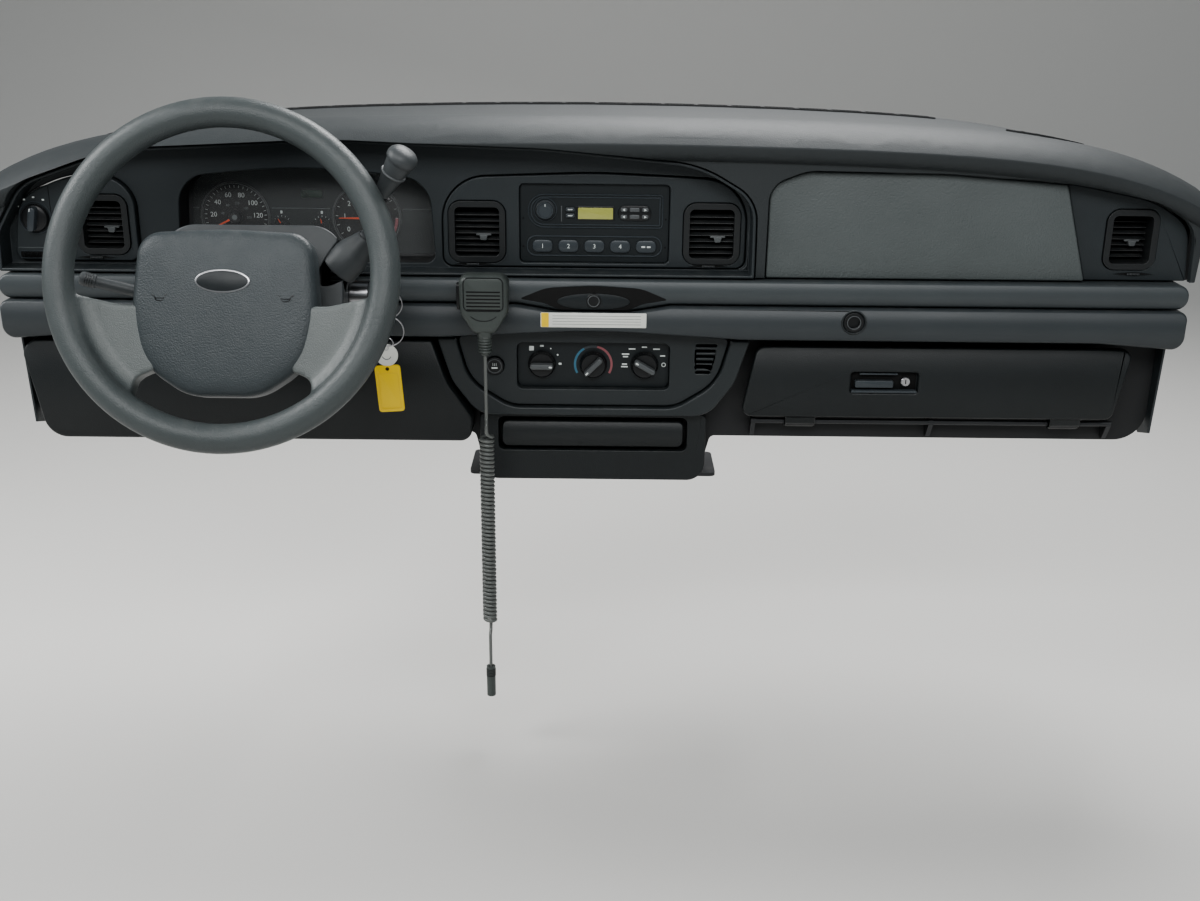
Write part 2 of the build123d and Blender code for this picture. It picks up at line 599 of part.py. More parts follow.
# Driver's tray round the gauges
with BuildPart() as driver_bezel:
    block(DRIVER_OPENING, CARRIER_Y, TRAY_LIP_FRONT, grow=-PANEL_GAP)
    lip = PANEL_GAP + PANEL_WALL
    block(DRIVER_OPENING, TRAY_FLOOR, TRAY_LIP_FRONT - 1, grow=-lip, mode=Mode.SUBTRACT)
    block(DRIVER_OPENING, CARRIER_Y, TRAY_FLOOR + PANEL_WALL, grow=-lip, mode=Mode.SUBTRACT)
    block(CLUSTER_OPENING, CARRIER_Y, TRAY_LIP_FRONT, mode=Mode.SUBTRACT)
    block(CENTRE_PANEL, CARRIER_Y, TRAY_LIP_FRONT, grow=PANEL_GAP, mode=Mode.SUBTRACT)
    block(SWITCH_PANEL, CARRIER_Y, TRAY_LIP_FRONT, grow=PANEL_GAP, mode=Mode.SUBTRACT)
save(driver_bezel, "driver_bezel")

# Gauge housing with its dials, needles and lens
with BuildPart() as gauge_housing:
    block(CLUSTER_OPENING, CARRIER_Y + CLUSTER_DEPTH, TRAY_FLOOR + PANEL_WALL, grow=PANEL_WALL)
    block(CLUSTER_OPENING, CARRIER_Y + CLUSTER_DEPTH - 3.0, TRAY_LIP_FRONT, mode=Mode.SUBTRACT)
save(gauge_housing, "gauge_housing")

with BuildPart() as dial_plate:
    block(CLUSTER_OPENING, DIAL_Y + 2.0, DIAL_Y, grow=-SEAT_GAP)
    with BuildSketch(across(DIAL_Y)):
        with Locations(*[(x, DIAL_Z) for x in DIAL_X]):
            Circle(DIAL_R)
            Circle(DIAL_R - 2.5, mode=Mode.SUBTRACT)
        with Locations(*[(x, GAUGE_Z) for x in GAUGE_X]):
            Circle(GAUGE_R - 2.5)
            Circle(GAUGE_R - 4.0, mode=Mode.SUBTRACT)
    extrude(amount=4.0)
save(dial_plate, "dial_plate")

with BuildPart() as needles:
    for x, angle in zip(DIAL_X, DIAL_AT_REST):
        with BuildSketch(across(DIAL_Y)):
            with Locations((x, DIAL_Z)):
                Circle(6.0)
        extrude(amount=7.0)
        with BuildSketch(across(DIAL_Y - 4.0)):
            with Locations(Location((x, DIAL_Z, 0), angle)):
                with Locations((DIAL_R * 0.42, 0)):
                    Rectangle(DIAL_R * 0.78, 2.2)
        extrude(amount=1.6)
    for x in GAUGE_X:
        with BuildSketch(across(DIAL_Y)):
            with Locations((x, GAUGE_Z)):
                Circle(2.5)
        extrude(amount=3.5)
save(needles, "needles")

with BuildPart() as gauge_lens:
    block(CLUSTER_OPENING, LENS_Y, LENS_Y - 2.0, grow=-SEAT_GAP)
save(gauge_lens, "gauge_lens")

# Switch panel with the headlamp knob
with BuildPart() as switch_panel:
    moulding(SWITCH_PANEL, SWITCH_FRONT)
    left_vent_rows = rounded(LEFT_VENT_X, LEFT_VENT_Z, END_VENT_W, END_VENT_H, 16.0)
    window(left_vent_rows, SWITCH_FRONT, grow=SEAT_GAP)
    with BuildSketch(across(SWITCH_FRONT + PANEL_WALL)):
        with Locations((HEADLAMP_X, HEADLAMP_Z)):
            Circle(5.0)
    extrude(amount=PANEL_WALL + 1, mode=Mode.SUBTRACT)
save(switch_panel, "switch_panel")

with BuildPart() as headlamp_knob:
    with BuildSketch(across(CARRIER_Y)):
        with Locations((HEADLAMP_X, HEADLAMP_Z)):
            Circle(5.0 - SEAT_GAP)
    extrude(amount=CARRIER_Y - SWITCH_FRONT + 1)
    with BuildSketch(across(SWITCH_FRONT - 1.0)):
        with Locations((HEADLAMP_X, HEADLAMP_Z)):
            Circle(HEADLAMP_R)
    extrude(amount=16.0)
save(headlamp_knob, "headlamp_knob")

# Vents: frame, barrel and slats
for name, (x, z, width, height, front) in VENTS.items():
    with BuildPart() as vent:
        frame = rounded(x, z, width, height, 16.0)
        block(frame, CARRIER_Y, front - 2.0)
        barrel = rounded(x, z, width - 2 * VENT_FRAME, height - 2 * VENT_FRAME, 8.0)
        block(barrel, CARRIER_Y + VENT_DEPTH, CARRIER_Y)
        block(barrel, CARRIER_Y + VENT_DEPTH - 3.0, front - 3.0, grow=-2.0, mode=Mode.SUBTRACT)
        pitch = (height - 2 * VENT_FRAME - 12.0) / SLATS
        for row in range(SLATS):
            slat_z = z + (row - (SLATS - 1) / 2) * pitch
            slat = Plane(origin=(x, CARRIER_Y - 2.0, slat_z), x_dir=(1, 0, 0), z_dir=(0, 0, 1))
            with BuildSketch(slat.rotated((SLAT_TILT, 0, 0))):
                Rectangle(width - 2 * VENT_FRAME - 2.0, 18.0)
            extrude(amount=SLAT_T / 2, both=True)
    save(vent, name)

# Centre panel with the radio
with BuildPart() as centre_panel:
    moulding(CENTRE_PANEL, CENTRE_FRONT)
    radio_rows = rounded(0.0, RADIO_Z, RADIO_W, RADIO_H, 6.0)
    window(radio_rows, CENTRE_FRONT)
    for side in (-1, 1):
        vent_rows = rounded(side * VENT_X, VENT_Z, VENT_W, VENT_H, 16.0)
        window(vent_rows, CENTRE_FRONT, grow=SEAT_GAP)
save(centre_panel, "centre_panel")

with BuildPart() as radio:
    block(radio_rows, CARRIER_Y, CARRIER_Y - 10.0, grow=-SEAT_GAP)
    block(radio_window, CARRIER_Y + RADIO_DEPTH, CARRIER_Y)
save(radio, "radio")

with BuildPart() as radio_controls:
    face = CARRIER_Y - 10.0
    with BuildSketch(across(face)):
        with Locations((-62.5, 119.0)):
            Circle(12.0)
    extrude(amount=9.0)
    with BuildSketch(across(face)):
        with Locations((0.0, PRESET_Z)):
            with GridLocations(PRESET_PITCH, 1.0, PRESET_COUNT, 1):
                RectangleRounded(26.0, 16.0, 6)
        with Locations((50.5, 115.5)):
            RectangleRounded(42.0, 19.0, 9)
        with Locations((-31.0, 119.7), (-31.0, 112.0)):
            RectangleRounded(11.7, 5.0, 2)
    extrude(amount=3.0)
save(radio_controls, "radio_controls")

# Passenger airbag door and end panel
with BuildPart() as airbag_door:
    moulding(PASSENGER_OPENING, AIRBAG_FRONT, grow=-PANEL_GAP)
    block(AIRBAG_SIDE, CARRIER_Y, AIRBAG_FRONT, mode=Mode.INTERSECT)
save(airbag_door, "airbag_door")

with BuildPart() as end_panel:
    moulding(PASSENGER_OPENING, END_FRONT, grow=-PANEL_GAP)
    block(AIRBAG_SIDE, CARRIER_Y, END_FRONT, grow=PANEL_GAP, mode=Mode.SUBTRACT)
    right_vent_rows = rounded(RIGHT_VENT_X, RIGHT_VENT_Z, END_VENT_W, END_VENT_H, 16.0)
    window(right_vent_rows, END_FRONT, grow=SEAT_GAP)
save(end_panel, "end_panel")

# Rail and band across the whole panel
with BuildPart() as trim_rail:
    moulding(RAIL, RAIL_FRONT)
    eye = [(-EYE_HALF, 22.0, 60.0), (0.0, -8.0, 60.0), (EYE_HALF, 22.0, 60.0), (0.0, 30.0, 300.0)]
    block(eye, RAIL_FRONT + 3.0, RAIL_FRONT - 1.0, mode=Mode.SUBTRACT)
    column_notch(RAIL_FRONT)
save(trim_rail, "trim_rail")

with BuildPart() as release_button:
    with BuildSketch(across(RAIL_FRONT + 3.0)):
        with Locations((0.0, BUTTON_Z)):
            Circle(BUTTON_R)
    extrude(amount=5.0)
save(release_button, "release_button")

with BuildPart() as lower_band:
    moulding(BAND, BAND_FRONT)
    with BuildSketch(across(BAND_FRONT + PANEL_WALL)):
        with Locations((SOCKET_X, SOCKET_Z)):
            Circle(SOCKET_R)
    extrude(amount=PANEL_WALL + 1, mode=Mode.SUBTRACT)
    column_notch(BAND_FRONT)
save(lower_band, "lower_band")

with BuildPart() as socket_cap:
    with BuildSketch(across(CARRIER_Y)):
        with Locations((SOCKET_X, SOCKET_Z)):
            Circle(SOCKET_R - SEAT_GAP)
    extrude(amount=CARRIER_Y - BAND_FRONT + 1.5)
    with BuildSketch(across(BAND_FRONT + 3.0)):
        with Locations((SOCKET_X, SOCKET_Z)):
            Circle(SOCKET_R - 4.0)
    extrude(amount=5.0, mode=Mode.SUBTRACT)
save(socket_cap, "socket_cap")

# Panels below the band
with BuildPart() as knee_panel:
    moulding(KNEE_PANEL, KNEE_FRONT)
    column_notch(KNEE_FRONT)
save(knee_panel, "knee_panel")

with BuildPart() as climate_bezel:
    moulding(CLIMATE_PANEL, CLIMATE_FRONT)
    climate_rows = rounded(0.0, CLIMATE_Z, CLIMATE_W, CLIMATE_H, 8.0)
    window(climate_rows, CLIMATE_FRONT)
    with BuildSketch(across(CLIMATE_FRONT + PANEL_WALL)):
        for row in range(SLOT_ROWS):
            slot_length = 27.0 - 1.6 * row
            with Locations((SLOT_LEFT + slot_length / 2, SLOT_TOP - SLOT_PITCH * row)):
                SlotOverall(slot_length, 3.5)
        with Locations((LIGHTER_X, LIGHTER_Z)):
            Circle(LIGHTER_R)
    extrude(amount=PANEL_WALL + 1, mode=Mode.SUBTRACT)
save(climate_bezel, "climate_bezel")

with BuildPart() as climate_face:
    block(climate_rows, CARRIER_Y, CARRIER_Y - 22.0, grow=-SEAT_GAP)
save(climate_face, "climate_face")

with BuildPart() as climate_knobs:
    for x in (-KNOB_PITCH, 0.0, KNOB_PITCH):
        with BuildSketch(across(CARRIER_Y - 22.0)):
            with Locations((x, CLIMATE_Z)):
                Circle(KNOB_R)
        extrude(amount=9.0, taper=4)
        with BuildSketch(across(CARRIER_Y - 30.0)):
            with Locations((x, CLIMATE_Z)):
                SlotOverall(2 * KNOB_R - 4.0, 9.0, rotation=40)
        extrude(amount=11.0)
save(climate_knobs, "climate_knobs")

with BuildPart() as lighter:
    with BuildSketch(across(CARRIER_Y)):
        with Locations((LIGHTER_X, LIGHTER_Z)):
            Circle(LIGHTER_R - SEAT_GAP)
    extrude(amount=CARRIER_Y - CLIMATE_FRONT + 4.0)
save(lighter, "lighter")

# Surround that carries the band down round the climate panel
surround_face = profile(across(CARRIER_Y), SURROUND) - profile(across(CARRIER_Y), CLIMATE_PANEL, PANEL_GAP)
surround_hollow = profile(across(CARRIER_Y), SURROUND, -PANEL_WALL)
surround_hollow -= profile(across(CARRIER_Y), CLIMATE_PANEL, PANEL_GAP + PANEL_WALL)
with BuildPart() as stack_surround:
    extrude(surround_face, amount=CARRIER_Y - SURROUND_FRONT)
    extrude(surround_hollow, amount=CARRIER_Y - SURROUND_FRONT - PANEL_WALL, mode=Mode.SUBTRACT)
save(stack_surround, "stack_surround")

# Lower centre panel with the ashtray drawer in its sleeve
with BuildPart() as lower_centre:
    moulding(LOWER_CENTRE, STACK_FRONT)
    window(TRAY_RECESS, STACK_FRONT)
save(lower_centre, "lower_centre")

with BuildPart() as tray_sleeve:
    inner = rounded(0.0, TRAY_Z, TRAY_W, TRAY_H, 2.0)
    block(inner, CARRIER_Y + TRAY_DEPTH, CARRIER_Y, grow=SLEEVE_WALL)
    block(inner, CARRIER_Y + TRAY_DEPTH - 2.0, CARRIER_Y - 1.0, mode=Mode.SUBTRACT)
    flange = rounded(0.0, TRAY_Z, TRAY_W + 8.0, TRAY_H + 8.0, 12.0)
    block(flange, CARRIER_Y, CARRIER_Y - 2.0)
    block(inner, CARRIER_Y + 1.0, CARRIER_Y - 3.0, mode=Mode.SUBTRACT)
save(tray_sleeve, "tray_sleeve")

with BuildPart() as ash_tray:
    block(rounded(0.0, TRAY_Z, TRAY_W, TRAY_H, 8.0), CARRIER_Y - 8.0, STACK_FRONT)
    back, front = CARRIER_Y + TRAY_DEPTH - 8.0, CARRIER_Y - 8.0
    tub = rounded(0.0, TRAY_Z, TRAY_W - 2 * RUNNING_GAP, TRAY_H - 2 * RUNNING_GAP, 2.0)
    block(tub, back, front)
    with BuildSketch(Plane.XY.offset(TRAY_Z - 12.0)):
        with Locations((0.0, (back + front) / 2)):
            RectangleRounded(TRAY_W - 24.0, back - front - 12.0, 8)
    extrude(amount=60.0, mode=Mode.SUBTRACT)
save(ash_tray, "ash_tray")

# Glove box: the door carries a fan-shaped bin that swings with it
with BuildPart() as glove_door:
    block(GLOVE_DOOR, DOOR_FRONT + DOOR_SKIN, DOOR_FRONT)
    recess = rounded(LATCH_X, LATCH_Z, LATCH_W, LATCH_H, 4.0)
    block(recess, DOOR_FRONT + DOOR_SKIN - 3.0, DOOR_FRONT - 1.0, mode=Mode.SUBTRACT)
    for x in (BIN_LEFT + 40.0, BIN_RIGHT - 40.0):
        with BuildSketch(Plane.YZ.offset(x - 20.0)):
            with Locations((HINGE_Y, HINGE_Z)):
                Circle(HINGE_R + 3.5)
                with Locations((-9.0, 8.0)):
                    Rectangle(7.0, 19.0)
                Circle(HINGE_R, mode=Mode.SUBTRACT)
        extrude(amount=40.0)
save(glove_door, "glove_door")


def bin_section(x, radius, floor, door_side, width, mode=Mode.ADD):
    """The glove box bin's section: a flat floor, a back curved round the hinge, and the door."""
    low = math.degrees(math.asin(floor / radius))
    high = math.degrees(math.acos(door_side / radius))
    corner = (HINGE_Y + door_side, HINGE_Z + floor)
    with BuildSketch(Plane.YZ.offset(x)) as face:
        with BuildLine():
            back = CenterArc((HINGE_Y, HINGE_Z), radius, low, high - low)
            Line(back @ 1, corner)
            Line(corner, back @ 0)
        make_face()
    extrude(face.sketch, amount=width, mode=mode)


with BuildPart() as glove_bin:
    bin_width = BIN_RIGHT - BIN_LEFT
    door_side = DOOR_FRONT + DOOR_SKIN - HINGE_Y
    bin_section(BIN_LEFT, BIN_R, BIN_FLOOR, door_side, bin_width)
    inner_width = bin_width - 2 * BIN_WALL
    bin_section(
        BIN_LEFT + BIN_WALL, BIN_R - BIN_WALL, BIN_FLOOR + BIN_WALL, door_side + BIN_WALL, inner_width, Mode.SUBTRACT
    )
    with BuildSketch(Plane.XY.offset(HINGE_Z + BIN_BRIM)):
        with Locations(((BIN_LEFT + BIN_RIGHT) / 2, HINGE_Y + BIN_R / 2 + 3.0)):
            Rectangle(inner_width, BIN_R)
    extrude(amount=BIN_R, mode=Mode.SUBTRACT)
save(glove_bin, "glove_bin")

with BuildPart() as glove_latch:
    block(rounded(LATCH_X, LATCH_Z - 6.0, LATCH_W - 8.0, 10.0, 3.0), DOOR_FRONT + DOOR_SKIN - 3.0, DOOR_FRONT + 2.0)
save(glove_latch, "glove_latch")

# Hinge rail below the glove box, bolted to the carrier's foot
with BuildPart() as glove_hinge:
    with BuildSketch(Plane.YZ.offset(BIN_LEFT - 24.0)):
        with Locations((HINGE_Y, HINGE_Z)):
            Circle(HINGE_R - RUNNING_GAP)
    extrude(amount=BIN_RIGHT - BIN_LEFT + 48.0)
    for x in (BIN_LEFT - 24.0, (BIN_LEFT + BIN_RIGHT) / 2 - 3.0, BIN_RIGHT + 18.0):
        with BuildSketch(Plane.YZ.offset(x)):
            with BuildLine():
                Polyline(
                    (CARRIER_Y, HINGE_Z - 24.0),
                    (CARRIER_Y, HINGE_Z),
                    (HINGE_Y - 3.0, HINGE_Z + 3.0),
                    (HINGE_Y - 3.0, HINGE_Z - 3.0),
                    (CARRIER_Y - 8.0, HINGE_Z - 24.0),
                    close=True,
                )
            make_face()
        extrude(amount=6.0)
save(glove_hinge, "glove_hinge")

# Fixed column: jacket, tilt fork, and the bracket that hangs it from the beam
with BuildPart() as column_jacket:
    tube_on_column(JACKET_R, JACKET_START, COLUMN_END)
    for side in (-1, 1):
        middle = side * (EAR_IN + EAR_OUT) / 2
        with BuildSketch(on_column(TILT_AT + 12.0, x=middle)):
            RectangleRounded(EAR_OUT - EAR_IN, 30.0, 1)
        extrude(amount=JACKET_START - 24.0 - TILT_AT - 12.0)
        with BuildSketch(on_column(JACKET_START - 8.0, x=side * EAR_IN)):
            Rectangle(8.0, 30.0)
        extrude(amount=-16.0)
    tube_on_column(JACKET_R - JACKET_WALL, JACKET_START + 1, COLUMN_END - 1, mode=Mode.SUBTRACT)
    tube_on_column(JACKET_R, COLUMN_END, COLUMN_END + 8.0)
    tube_on_column(JACKET_R, JACKET_START - 2.0, JACKET_START - 10.0)
    tube_on_column(SHAFT_R + RUNNING_GAP, JACKET_START + 1, COLUMN_END - 1, mode=Mode.SUBTRACT)
    pivot = on_column(TILT_AT).origin
    with BuildSketch(Plane.YZ.offset(WHEEL_X - 60.0)):
        with Locations((pivot.Y, pivot.Z)):
            Circle(TRUNNION_R + RUNNING_GAP)
    extrude(amount=120.0, mode=Mode.SUBTRACT)
save(column_jacket, "column_jacket")

with BuildPart() as column_bracket:
    for x in (WHEEL_X - JACKET_R - 6.0, WHEEL_X + JACKET_R + 1.0):
        with BuildSketch(Plane.YZ.offset(x)):
            with BuildLine():
                Polyline(
                    (BEAM_Y - 40.0, BEAM_Z + 4.0),
                    (BEAM_Y + 40.0, BEAM_Z + 4.0),
                    (BEAM_Y + 70.0, BEAM_Z - 86.0),
                    (BEAM_Y - 50.0, BEAM_Z - 60.0),
                    close=True,
                )
            make_face()
        extrude(amount=5.0)
    with BuildSketch(on_column(-345.0, up=JACKET_R - 2.0)):
        Rectangle(2 * JACKET_R + 12.0, 2 * JACKET_R - 4.0)
    extrude(amount=-56.0)
    tube_on_column(JACKET_R + 0.05, JACKET_START, COLUMN_END, mode=Mode.SUBTRACT)
    with BuildSketch(Plane.YZ.offset(-BEAM_HALF)):
        with Locations((BEAM_Y, BEAM_Z)):
            Circle(BEAM_R + 0.05)
    extrude(amount=2 * BEAM_HALF, mode=Mode.SUBTRACT)
save(column_bracket, "column_bracket")

# Tilting head of the column
with BuildPart() as tilt_head:
    tube_on_column(HEAD_R, SHROUD_START - 1.0, TILT_AT - 8.0)
    with BuildSketch(Plane.YZ.offset(WHEEL_X - EAR_OUT)):
        with Locations((pivot.Y, pivot.Z)):
            Circle(TRUNNION_R)
    extrude(amount=2 * EAR_OUT)
    for along in (SHROUD_START - 24.0, SHROUD_START - 78.0):
        with BuildSketch(on_column(along, x=SHROUD_X, up=SHROUD_UP)):
            RectangleRounded(HEAD_PLATE_W, HEAD_PLATE_H, 20)
        extrude(amount=-6.0)
    for side in (-1, 1):
        with BuildSketch(on_column(SHROUD_START - 24.0, x=side * 60.0 + SHROUD_X)):
            Rectangle(6.0, HEAD_PLATE_H - 20.0)
        extrude(amount=-60.0)
    tube_on_column(SHAFT_R + RUNNING_GAP, SHROUD_START, TILT_AT - 30.0, mode=Mode.SUBTRACT)
    tube_on_column(SHAFT_R + 6.0, TILT_AT + 12.0, TILT_AT - 30.0, mode=Mode.SUBTRACT)
save(tilt_head, "tilt_head")

with BuildPart() as column_shroud:
    for along, grow in ((SHROUD_START, 0.0), (SHROUD_END, -12.0)):
        with BuildSketch(on_column(along, x=SHROUD_X, up=SHROUD_UP)):
            RectangleRounded(SHROUD_W + grow, SHROUD_H + grow, 38)
    loft()
    for along, grow in ((SHROUD_START - SHROUD_WALL, 0.0), (SHROUD_END - 1.0, -12.0)):
        with BuildSketch(on_column(along, x=SHROUD_X, up=SHROUD_UP)):
            RectangleRounded(SHROUD_W + grow - 2 * SHROUD_WALL, SHROUD_H + grow - 2 * SHROUD_WALL, 35)
    loft(mode=Mode.SUBTRACT)
    tube_on_column(HEAD_R + SEAT_GAP, SHROUD_START + 1, SHROUD_START - 10.0, mode=Mode.SUBTRACT)
    with BuildSketch(Plane.YZ.offset(WHEEL_X)):
        with Locations((LOCK_Y, LOCK_Z)):
            Circle(LOCK_R + SEAT_GAP)
    extrude(amount=SHROUD_W, mode=Mode.SUBTRACT)
    for start, aim, radius in (
        (STALK_ROUTE[0], STALK_ROUTE[1], STALK_R),
        (LEVER_ROUTE[0], LEVER_ROUTE[1], COLLAR_R),
    ):
        with BuildSketch(Plane(origin=start, z_dir=Vector(*aim) - Vector(*start))):
            Circle(radius + SEAT_GAP)
        extrude(amount=80.0, both=True, mode=Mode.SUBTRACT)
save(column_shroud, "column_shroud")

with BuildPart() as ignition_lock:
    with BuildSketch(Plane.YZ.offset(WHEEL_X + SHROUD_X + HEAD_PLATE_W / 2)):
        with Locations((LOCK_Y, LOCK_Z)):
            Circle(LOCK_R)
    extrude(amount=(SHROUD_W - HEAD_PLATE_W) / 2 + LOCK_PROUD)
save(ignition_lock, "ignition_lock")

with BuildPart() as key_tags:
    lock_end = WHEEL_X + SHROUD_X + SHROUD_W / 2 + LOCK_PROUD
    with BuildSketch(Plane.XY.offset(LOCK_Z)):
        with Locations((lock_end + 13.0, LOCK_Y)):
            RectangleRounded(26.0, 20.0, 4)
    extrude(amount=1.2, both=True)
    with BuildSketch(across(TAG_Y)):
        for z, radius in ((LOCK_Z - 14.0, 18.0), (LOCK_Z - 48.0, 19.0)):
            with Locations((lock_end + 19.0, z)):
                Circle(radius)
                Circle(radius - 1.5, mode=Mode.SUBTRACT)
        with Locations((lock_end + 15.0, LOCK_Z - 78.0)):
            Circle(14.0)
        with Locations((lock_end + 17.0, LOCK_Z - 121.0)):
            RectangleRounded(32.0, 60.0, 3)
    extrude(amount=TAG_T)
save(key_tags, "key_tags")

with BuildPart() as turn_stalk:
    with BuildLine() as stalk_path:
        FilletPolyline(*STALK_ROUTE, radius=40.0)
    with BuildSketch(Plane(origin=stalk_path.line @ 0, z_dir=stalk_path.line % 0)):
        Circle(STALK_R)
    sweep()
save(turn_stalk, "turn_stalk")

with BuildPart() as shift_lever:
    with BuildLine() as lever_path:
        FilletPolyline(*LEVER_ROUTE, radius=30.0)
    with BuildSketch(Plane(origin=lever_path.line @ 0, z_dir=lever_path.line % 0)):
        Circle(LEVER_R)
    sweep()
    with BuildSketch(Plane(origin=lever_path.line @ 1, z_dir=lever_path.line % 1)):
        Circle(KNOB_END_R)
    extrude(amount=-KNOB_LONG, taper=9)
    with BuildSketch(Plane(origin=lever_path.line @ 0, z_dir=lever_path.line % 0)):
        Circle(COLLAR_R)
    extrude(amount=COLLAR_SEAT)
    with BuildSketch(Plane(origin=lever_path.line @ 0, z_dir=lever_path.line % 0).offset(COLLAR_SEAT)):
        Circle(COLLAR_R)
    extrude(amount=COLLAR_LONG - COLLAR_SEAT, taper=20)
save(shift_lever, "shift_lever")

# Steering wheel
wheel_plane = on_column(0.0)
wheel_axis = Axis(wheel_plane.origin, wheel_plane.z_dir)
radial_plane = Plane(origin=wheel_plane.origin, x_dir=(1, 0, 0), z_dir=-wheel_plane.y_dir)
SPOKES = [
    (SPOKE_ROOT, SPOKE_TOP, 4.0),
    (116.0, SPOKE_TOP, 30.0),
    (200.0, -14.0, 4.0),
    (200.0, -160.0, 4.0),
    (100.0, -152.0, 4.0),
    (98.0, -114.0, 12.0),
    (SPOKE_ROOT, -104.0, 4.0),
]
with BuildPart() as wheel_rim:
    with BuildSketch(radial_plane):
        with BuildLine():
            Polyline(
                (SPOKE_ROOT - 6.0, SPOKE_FRONT),
                (SPOKE_FLAT_R, SPOKE_FRONT),
                (RIM_R, 8.0),
                (RIM_R, -8.0),
                (SPOKE_FLAT_R, SPOKE_BACK),
                (SPOKE_ROOT - 6.0, SPOKE_BACK),
                close=True,
            )
        make_face()
    revolve(axis=wheel_axis)
    right = profile(on_column(RIM_TUBE + 10.0), SPOKES)
    left = profile(on_column(RIM_TUBE + 10.0), [(-x, up, radius) for x, up, radius in reversed(SPOKES)])
    extrude(right + left, amount=-80.0, mode=Mode.INTERSECT)
    with BuildSketch(radial_plane) as tube:
        with Locations((RIM_R, 0.0)):
            Circle(RIM_TUBE)
    revolve(tube.sketch, axis=wheel_axis)
save(wheel_rim, "wheel_rim")

HUB = [
    (-HUB_W / 2, -40.0, 160.0),
    (-HUB_W / 2 + 13.0, -100.0, 70.0),
    (-40.0, HUB_FOOT, 60.0),
    (40.0, HUB_FOOT, 60.0),
    (HUB_W / 2 - 13.0, -100.0, 70.0),
    (HUB_W / 2, -40.0, 160.0),
    (HUB_W / 2 - 7.0, HUB_TOP, 28.0),
    (0.0, HUB_TOP + 5.0, 500.0),
    (-HUB_W / 2 + 7.0, HUB_TOP, 28.0),
]
with BuildPart() as hub_cover:
    extrude(profile(on_column(HUB_BACK), HUB), amount=HUB_FRONT - HUB_BACK)
    for side in (-1, 1):
        socket_w, socket_h = HUB_W - 2 * SPOKE_ROOT + 2 * SEAT_GAP, SPOKE_TOP - HUB_FOOT + SEAT_GAP + 10.0
        socket = rounded(side * HUB_W / 2, SPOKE_TOP + SEAT_GAP - socket_h / 2, socket_w, socket_h, 2.0)
        depth = SPOKE_FRONT - SPOKE_BACK + 2 * SEAT_GAP
        extrude(profile(on_column(SPOKE_FRONT + SEAT_GAP), socket), amount=-depth, mode=Mode.SUBTRACT)
save(hub_cover, "hub_cover")

with BuildPart() as wheel_back:
    extrude(profile(on_column(HUB_BACK), HUB, grow=-6.0), amount=BACK_COVER_END + 16.0 - HUB_BACK)
    tube_on_column(46.0, BACK_COVER_END + 16.0, BACK_COVER_END)
    tube_on_column(SHAFT_R + SEAT_GAP, HUB_BACK + 1, BACK_COVER_END - 1, mode=Mode.SUBTRACT)
save(wheel_back, "wheel_back")

with BuildPart() as steering_shaft:
    tube_on_column(SHAFT_R, HUB_BACK - 1.0, TILT_AT + 8.0)
save(steering_shaft, "steering_shaft")

with BuildPart() as lower_shaft:
    tube_on_column(SHAFT_R, TILT_AT - 16.0, COLUMN_END - 2.0)
    tube_on_column(SHAFT_END_R, COLUMN_END - 2.0, SHAFT_END)
save(lower_shaft, "lower_shaft")

# Hand microphone on its clip, with its curly lead
with BuildPart() as mic_clip:
    clip = rounded(MIC_X, -6.0, 26.0, 34.0, 4.0)
    block(clip, BAND_FRONT, BAND_FRONT - 4.0)
    with BuildSketch(across(BAND_FRONT - 4.0)):
        with Locations((MIC_X, -2.0)):
            Circle(5.0)
    extrude(amount=BAND_FRONT - 4.0 - (MIC_Y + MIC_T / 2))
save(mic_clip, "mic_clip")

MIC_BODY = [
    (MIC_X - MIC_W / 2, MIC_TOP, 10.0),
    (MIC_X + MIC_W / 2, MIC_TOP, 10.0),
    (MIC_X + MIC_W / 2 - 1.0, MIC_TOP - 48.0, 16.0),
    (MIC_X + 13.0, MIC_TOP - MIC_H, 8.0),
    (MIC_X + 11.0, MIC_TOP - MIC_H - 32.0, 4.0),
    (MIC_X - 11.0, MIC_TOP - MIC_H - 32.0, 4.0),
    (MIC_X - 13.0, MIC_TOP - MIC_H, 8.0),
    (MIC_X - MIC_W / 2 + 1.0, MIC_TOP - 48.0, 16.0),
]
with BuildPart() as hand_mic:
    block(MIC_BODY, MIC_Y + MIC_T / 2, MIC_Y - MIC_T / 2)
save(hand_mic, "hand_mic")

# Lead: it hangs straight from the strain relief, with a curled length, down to its plug
print("mic lead: hangs straight, no arcs")
LEAD_TOP = MIC_TOP - MIC_H - 32.0
with BuildPart() as mic_lead:
    for top, foot in ((LEAD_TOP, COIL_TOP), (COIL_FOOT, PLUG_TOP)):
        with BuildSketch(Plane.XY.offset(top)):
            with Locations((MIC_X, MIC_Y)):
                Circle(LEAD_R)
        extrude(amount=foot - top)
save(mic_lead, "mic_lead")

with BuildPart() as mic_coil:
    with BuildSketch(Plane.XY.offset(COIL_TOP)):
        with Locations((MIC_X, MIC_Y)):
            Circle(COIL_R)
    extrude(amount=COIL_FOOT - COIL_TOP)
save(mic_coil, "mic_coil")

with BuildPart() as mic_plug:
    with BuildSketch(Plane.XY.offset(PLUG_TOP)):
        with Locations((MIC_X, MIC_Y)):
            Circle(6.0)
    extrude(amount=PLUG_FOOT - PLUG_TOP)
save(mic_plug, "mic_plug")
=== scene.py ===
"""Instrument panel of a patrol car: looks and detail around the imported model."""

import json
import math

import bmesh
import bpy
from mathutils import Matrix, Vector
from mathutils.bvhtree import BVHTree

